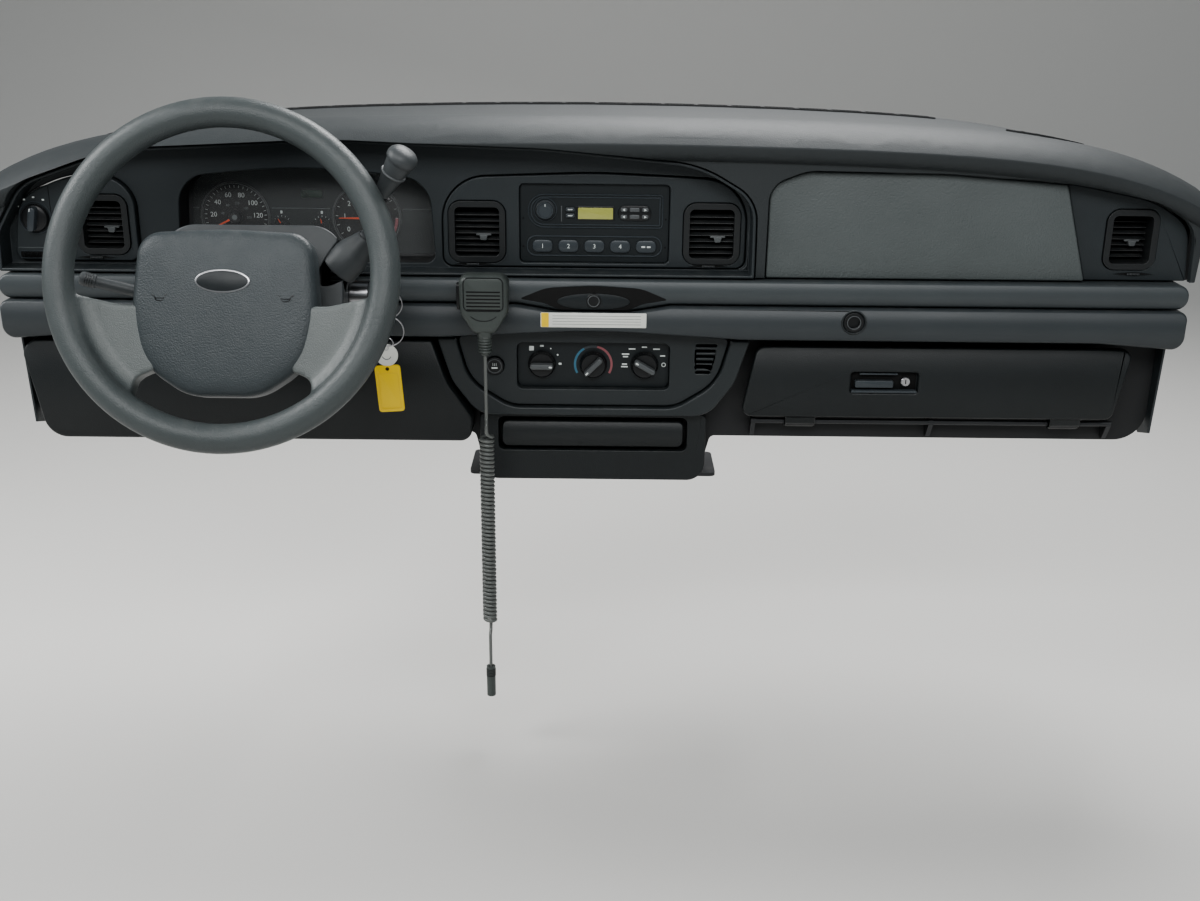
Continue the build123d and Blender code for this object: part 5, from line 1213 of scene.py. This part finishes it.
# Outline of the body: corner x, corner y, corner radius; and its section: inset, height
MIC_BODY = [(-31, 52, 12), (31, 52, 12), (30, 4, 18), (14, -22, 10), (-14, -22, 10), (-30, 4, 18)]
MIC_SECTION = [(7, -14), (2.5, -13), (0.4, -10.5), (0, -8), (0, 5), (0.6, 8.5), (2.4, 11.6), (5.4, 13.4),
               (9, 14)]
# Radius and height of the neck's turned form
MIC_NECK = [(11.5, -10), (11.5, -20), (9.4, -25), (8.0, -30), (6.6, -46), (5.0, -51), (4.0, -52)]
MIC_GRILLE = 13.7
PLUG_HEIGHT = -490


class PANEL_OT_microphone(bpy.types.Operator):
    """Hand microphone, its clip and plug"""
    bl_idname = "panel.microphone"
    bl_label = "Hand microphone"

    def execute(self, context):
        shell, black, shade_and_seam = look("mic"), look("black"), look("shade_and_seam")
        dress(["mic_clip", "mic_plug"], shell)
        x, y = MIC_PLACE
        front = placed(x, y, 0)
        body = filleted(MIC_BODY, 8)
        piece = Piece("mic_shell", "root", "mic_plastic", ["hand_mic"])
        rings = [[(*p, height) for p in inset(body, amount)] for amount, height in MIC_SECTION]
        piece.add(skin(rings), shell, front)
        neck = level(x, y, 0)
        piece.add(lathe(MIC_NECK), shell, neck)
        piece.row(torus(7.6, 1.5, 36, 8), 6, (0, 0, -3.6), (0, 0, -28), shell, neck)
        # Sound grille with its slits in painted shade, and the arc below it
        grille = filleted(box_rows(0, 28.5, 47, 40, 6), 6)
        piece.add(plate(grille, 1.2, 0.8), shell, front, z=MIC_GRILLE)
        piece.add(ridge(inset(grille, -1.4), 0.8, 0.9), black, front, z=MIC_GRILLE - 0.2)
        slit = tile(0, 0, 42, 1.7, 0.8, 0.2, 0.1)
        piece.row(slit, 6, (0, -4.5, 0), (0, 32, 0), shade_and_seam, front, MIC_GRILLE + 1.15)
        piece.add(arc_band(23.4, 24.4, 228, 312, 0.6), black, front, 0, 19, MIC_GRILLE)
        # Talk key on the left side, and the light catch behind
        side = aimed((x - 30.6, y - 1, 24), (-1, 0, 0))
        piece.add(tile(0, 0, 34, 11, 4, 3.2, 1.2, 90), black, side)
        piece.row(tile(0, 0, 8.0, 1.0, 0.4, 3.8, 0.3), 6, (0, 3.0, 0), (0, -7.5, 0), black, side)
        piece.add(tile(-13.5, -18, 4.5, 9, 1, 4.0, 0.6), look("label"), placed(x, -199, 0))
        piece.close()

        piece = Piece("mic_plug_trim", "root", "mic_plastic")
        plug = level(x, y, PLUG_HEIGHT)
        piece.row(torus(5.9, 0.7, 32, 8), 5, (0, 0, -2.4), (0, 0, -4), black, plug)
        piece.add(lathe([(2.6, 1.0), (4.6, -2), (5.8, -5), (5.8, -6)], 28), black, plug)
        piece.close()
        return {"FINISHED"}


# The lead, in metres
LEAD_EXIT = (*[size * MM for size in MIC_PLACE], -0.052)
LEAD_FOOT, LEAD_STRAIGHT, PLUG_DEPTH = PLUG_HEIGHT * MM, 0.03, 0.02
COIL_TOP, COIL_FOOT = -0.160, -0.420
TURN_POINTS = 14
BEND_RADIUS = 0.008  # of the two bends between the straight lead and the curl
EASE_LENGTH, EASE_STEPS, BEND_STEP = 0.020, 24, 8  # stretch over which the curl's slope sets in, and steps
COIL_SWELL, SWELL_PACE = 0.02, 0.37  # how unevenly the turns lie


def run_out(radius, slope):
    """Half a run from the curl to the axis: distance from the axis, angle, drop below the curl's end."""
    rows, drop, spin = [(radius, 0.0, 0.0)], 0.0, 0.0
    for step in range(EASE_STEPS):
        angle = slope * (1 - smooth_step((step + 0.5) / EASE_STEPS))
        drop += EASE_LENGTH / EASE_STEPS * math.cos(angle)
        spin += EASE_LENGTH / EASE_STEPS * math.sin(angle) / radius
        rows.append((radius, spin, drop))
    swing = math.acos(1 - radius / (2 * BEND_RADIUS))
    for step in range(1, 2 * BEND_STEP + 1):
        angle = swing * min(step, 2 * BEND_STEP - step) / BEND_STEP
        aside = BEND_RADIUS * (1 - math.cos(angle))
        rise = BEND_RADIUS * math.sin(angle)
        if step > BEND_STEP:
            aside, rise = radius - aside, 2 * BEND_RADIUS * math.sin(swing) - rise
        rows.append((radius - aside, spin, drop + rise))
    return rows


def lead_points(radius, turns):
    """The lead's middle line: straight, into the curl, round its turns, and straight again."""
    x, y, top = LEAD_EXIT
    bends = run_out(radius, math.atan2(math.tau * radius * turns, COIL_TOP - COIL_FOOT))
    points = [(x, y, top), (x, y, top - LEAD_STRAIGHT)]
    for away, angle, rise in reversed(bends):
        points.append((x + away * math.cos(angle), y - away * math.sin(angle), COIL_TOP + rise))
    count = turns * TURN_POINTS
    for step in range(1, count):
        angle = math.tau * step / TURN_POINTS
        wide = radius * (1 + COIL_SWELL * math.sin(SWELL_PACE * angle))
        drop = (COIL_TOP - COIL_FOOT) * step / count
        points.append((x + wide * math.cos(angle), y + wide * math.sin(angle), COIL_TOP - drop))
    for away, angle, rise in bends:
        points.append((x + away * math.cos(angle), y + away * math.sin(angle), COIL_FOOT - rise))
    return points + [(x, y, LEAD_FOOT + PLUG_DEPTH), (x, y, LEAD_FOOT)]


class PANEL_OT_lead(bpy.types.Operator):
    """The microphone's lead, which hangs straight with a curled stretch"""
    bl_idname = "panel.lead"
    bl_label = "Microphone lead"

    def execute(self, context):
        sizes = context.scene.panel_lead
        points = lead_points(sizes.coil_radius, sizes.coil_turns)
        curve = bpy.data.curves.new("lead_line", "CURVE")
        curve.dimensions = "3D"
        spline = curve.splines.new("NURBS")
        spline.points.add(len(points) - 1)
        for point, place in zip(spline.points, points):
            point.co = (*place, 1.0)
        spline.order_u = 3
        spline.use_endpoint_u = True
        spline.resolution_u = 3
        source = bpy.data.objects.new("lead_line", curve)
        context.scene.collection.objects.link(source)
        line = evaluated_mesh(source)
        bpy.data.meshes.remove(line)
        curve.bevel_depth = sizes.diameter / 2
        curve.bevel_resolution = 2
        curve.use_fill_caps = True
        mesh = evaluated_mesh(source)
        bpy.data.objects.remove(source)
        mesh.shade_smooth()
        # Its pale jacket colour is a painted highlight on a dark grey cord
        lead = add_piece("mic_lead_cord", mesh, "root", look("jacket"),
                         ["mic_lead", "mic_coil"])
        return {"FINISHED"}


# Middle line of the defroster grille: its place forwards on the middle of the car, and how far it falls back
# with the square and the fourth power of the way across, for each GRILLE_UNIT
GRILLE_AT, GRILLE_BEND, GRILLE_CURL, GRILLE_UNIT = 164.0, 14.2, 2.8, 380.0
GRILLE_HALF, GRILLE_REACH, GRILLE_STEPS = 480.0, 13.5, 96
EDGE_BAR = 3.5
RAY_HEIGHT = 1000.0  # from where the pad is felt for


def draped(mesh, pad):
    """The mesh laid along the grille's line on the padded top, its z up from the pad."""
    for vertex in mesh.vertices:
        x, y, z = vertex.co
        share = (x / GRILLE_UNIT) ** 2
        y += GRILLE_AT - GRILLE_BEND * share - GRILLE_CURL * share * share
        spot = pad.ray_cast(Vector((x, y, RAY_HEIGHT)) * MM, DOWN)[0]
        vertex.co = (x, y, spot.z / MM + z)
    return mesh


def long_bar(low, high, height):
    """A bar the whole length of the grille, between two distances from its line."""
    rings = []
    for step in range(GRILLE_STEPS + 1):
        x = GRILLE_HALF * (2 * step / GRILLE_STEPS - 1)
        rings.append([(x, low, -1.0), (x, high, -1.0), (x, high, height), (x, low, height)])
    return skin(rings)


class PANEL_OT_grille(bpy.types.Operator):
    """Defroster grille along the windscreen edge"""
    bl_idname = "panel.grille"
    bl_label = "Defroster grille"

    def execute(self, context):
        bare, shade_and_seam = look("bare"), look("shade_and_seam")
        shape = frame["nodes"]["top_pad"].data
        pad = BVHTree.FromPolygons([vertex.co for vertex in shape.vertices],
                                   [face.vertices for face in shape.polygons])
        piece = Piece("defroster_slats", "root", "grille_plastic", ["defroster_grille"])
        flat = level()
        # Black strip of painted shade between the two edge bars
        piece.add(draped(long_bar(1 - GRILLE_REACH, GRILLE_REACH - 1, 0.4), pad), shade_and_seam, flat)
        for low, high in ((-GRILLE_REACH, EDGE_BAR - GRILLE_REACH), (GRILLE_REACH - EDGE_BAR, GRILLE_REACH)):
            piece.add(draped(long_bar(low, high, 2.2), pad), bare, flat)
        # Width, height and distance of the posts and of the ribs
        for width, height, pitch in ((6.0, 2.2, 48.0), (1.3, 1.7, 4.8)):
            rib = tile(0, 0, width, 2 * GRILLE_REACH - 5.0, 0.2, height)
            count = round(2 * GRILLE_HALF / pitch) + 1
            row = repeated(rib, "row", count, (pitch, 0, 0), bare, (-GRILLE_HALF, 0, 0))
            piece.add(draped(row, pad), bare, flat)
        piece.close()
        return {"FINISHED"}


# Radius, lower and upper height, and sides of a bolt's washer and head
BOLT = [(8.4, 0, 1.6, 32), (6.6, 1.6, 7.0, 6)]
# Forward places of the header's front and back, and the header's middle, width and top
HEADER_FRONT, HEADER_BACK, HEADER_MIDDLE, HEADER_WIDTH = -121, -36, 449, 446
# x, z, width, height and depth of the header's roof, back wall and side walls
HEADER_WALLS = [(HEADER_MIDDLE, -44, HEADER_WIDTH, 3, 85.0), (HEADER_MIDDLE, -84, HEADER_WIDTH, 80, 3.0),
                (227.5, -84, 3, 83, 85.0), (670.5, -84, 3, 83, 85.0)]
LATCH_LOCK = (408, -97)


class PANEL_OT_fasteners(bpy.types.Operator):
    """Bolts, the glove box's header and latch, and the seals at the ends"""
    bl_idname = "panel.fasteners"
    bl_label = "Bolts, header, latch and seals"

    def execute(self, context):
        bright, bare = look("bright"), look("bare")
        piece = Piece("bolts", "root", "beam_steel")
        # Each place with its two bolts, and the distance between them
        flanges = [(placed(x, -6, 0), 100) for x in (-706, 706)]
        feet = [(level(x, -29, -257), 60) for x in (-142, 142)]
        for face, pitch in flanges + feet:
            for radius, low, high, sides in BOLT:
                head = lathe([(radius, low), (radius, high - 0.6), (radius - 0.6, high), (0, high)], sides)
                piece.row(head, 2, (0, pitch, 0), (0, -pitch / 2, 0), bright, face)
        piece.close()

        piece = Piece("glove_header", "root", "carrier_plastic")
        piece.add(tile(HEADER_MIDDLE, -49, HEADER_WIDTH, 18, 0.3, 3.0), bare, placed(0, HEADER_FRONT, 0))
        for x, z, width, height, depth in HEADER_WALLS:
            piece.add(tile(x, z, width, height, 0.3, depth), bare, placed(0, HEADER_BACK, 0))
        piece.close()

        piece = Piece("end_seals", "root", "trim_plastic")
        for side in (-1, 1):
            piece.add(tile(side * 748, 88, 18, 96, 1.0, 3.0), bare, placed(0, -121, 0))
            piece.add(tile(side * 754.6, 82, 6.4, 84, 1.0, 26.0), bare, placed(0, -123, 0))
        piece.close()

        piece = Piece("latch_handle", "glove_box", "lower_plastic", ["glove_latch"])
        pocket = placed(0, -151, 0)
        # Pocket of the latch, a black sheet of painted shade
        piece.add(tile(380, -98, 87, 27, 3.6, 0.5, 0.2), look("shade_and_seam"), pocket)
        for size in ((367, -100.5, 50, 9.5, 2, 7.4, 1.2), (380, -110, 86, 3.0, 1.4, 9.4, 0.8),
                     (372, -86.6, 50, 2.0, 0.9, 7.0, 0.5)):
            piece.add(tile(*size), look("key"), pocket)
        piece.add(lathe([(6.2, 0), (6.2, 5.6), (5.4, 6.4), (0, 6.4)], 32), bright, pocket, *LATCH_LOCK)
        # Slot of the lock in painted shade
        piece.add(tile(*LATCH_LOCK, 1.2, 6.0, 0.4, 6.6, 0.1), look("shade_and_seam"), pocket)
        piece.close()
        return {"FINISHED"}


PIECES = [PANEL_OT_stage, PANEL_OT_mouldings, PANEL_OT_gauges, PANEL_OT_radio, PANEL_OT_vents,
          PANEL_OT_switches, PANEL_OT_climate, PANEL_OT_column, PANEL_OT_microphone, PANEL_OT_lead,
          PANEL_OT_grille, PANEL_OT_fasteners]
SETTINGS = {"panel_stage": StageSizes, "panel_lead": LeadSizes, "panel_colours": PanelColours}


class PANEL_PT_sidebar(bpy.types.Panel):
    """Lists the pieces of the instrument panel"""
    bl_idname = "PANEL_PT_sidebar"
    bl_label = "Instrument panel"
    bl_space_type = "VIEW_3D"
    bl_region_type = "UI"
    bl_category = "Panel"

    def draw(self, context):
        for piece in PIECES:
            self.layout.operator(piece.bl_idname)


def register():
    for kind in [*SETTINGS.values(), *PIECES, PANEL_PT_sidebar]:
        bpy.utils.register_class(kind)
    for name, kind in SETTINGS.items():
        setattr(bpy.types.Scene, name, bpy.props.PointerProperty(type=kind))


def unregister():
    for name in SETTINGS:
        delattr(bpy.types.Scene, name)
    for kind in reversed([*SETTINGS.values(), *PIECES, PANEL_PT_sidebar]):
        bpy.utils.unregister_class(kind)


def main():
    register()
    for piece in PIECES:
        area, verb = piece.bl_idname.split(".")
        getattr(getattr(bpy.ops, area), verb)()


if __name__ == "__main__":
    main()
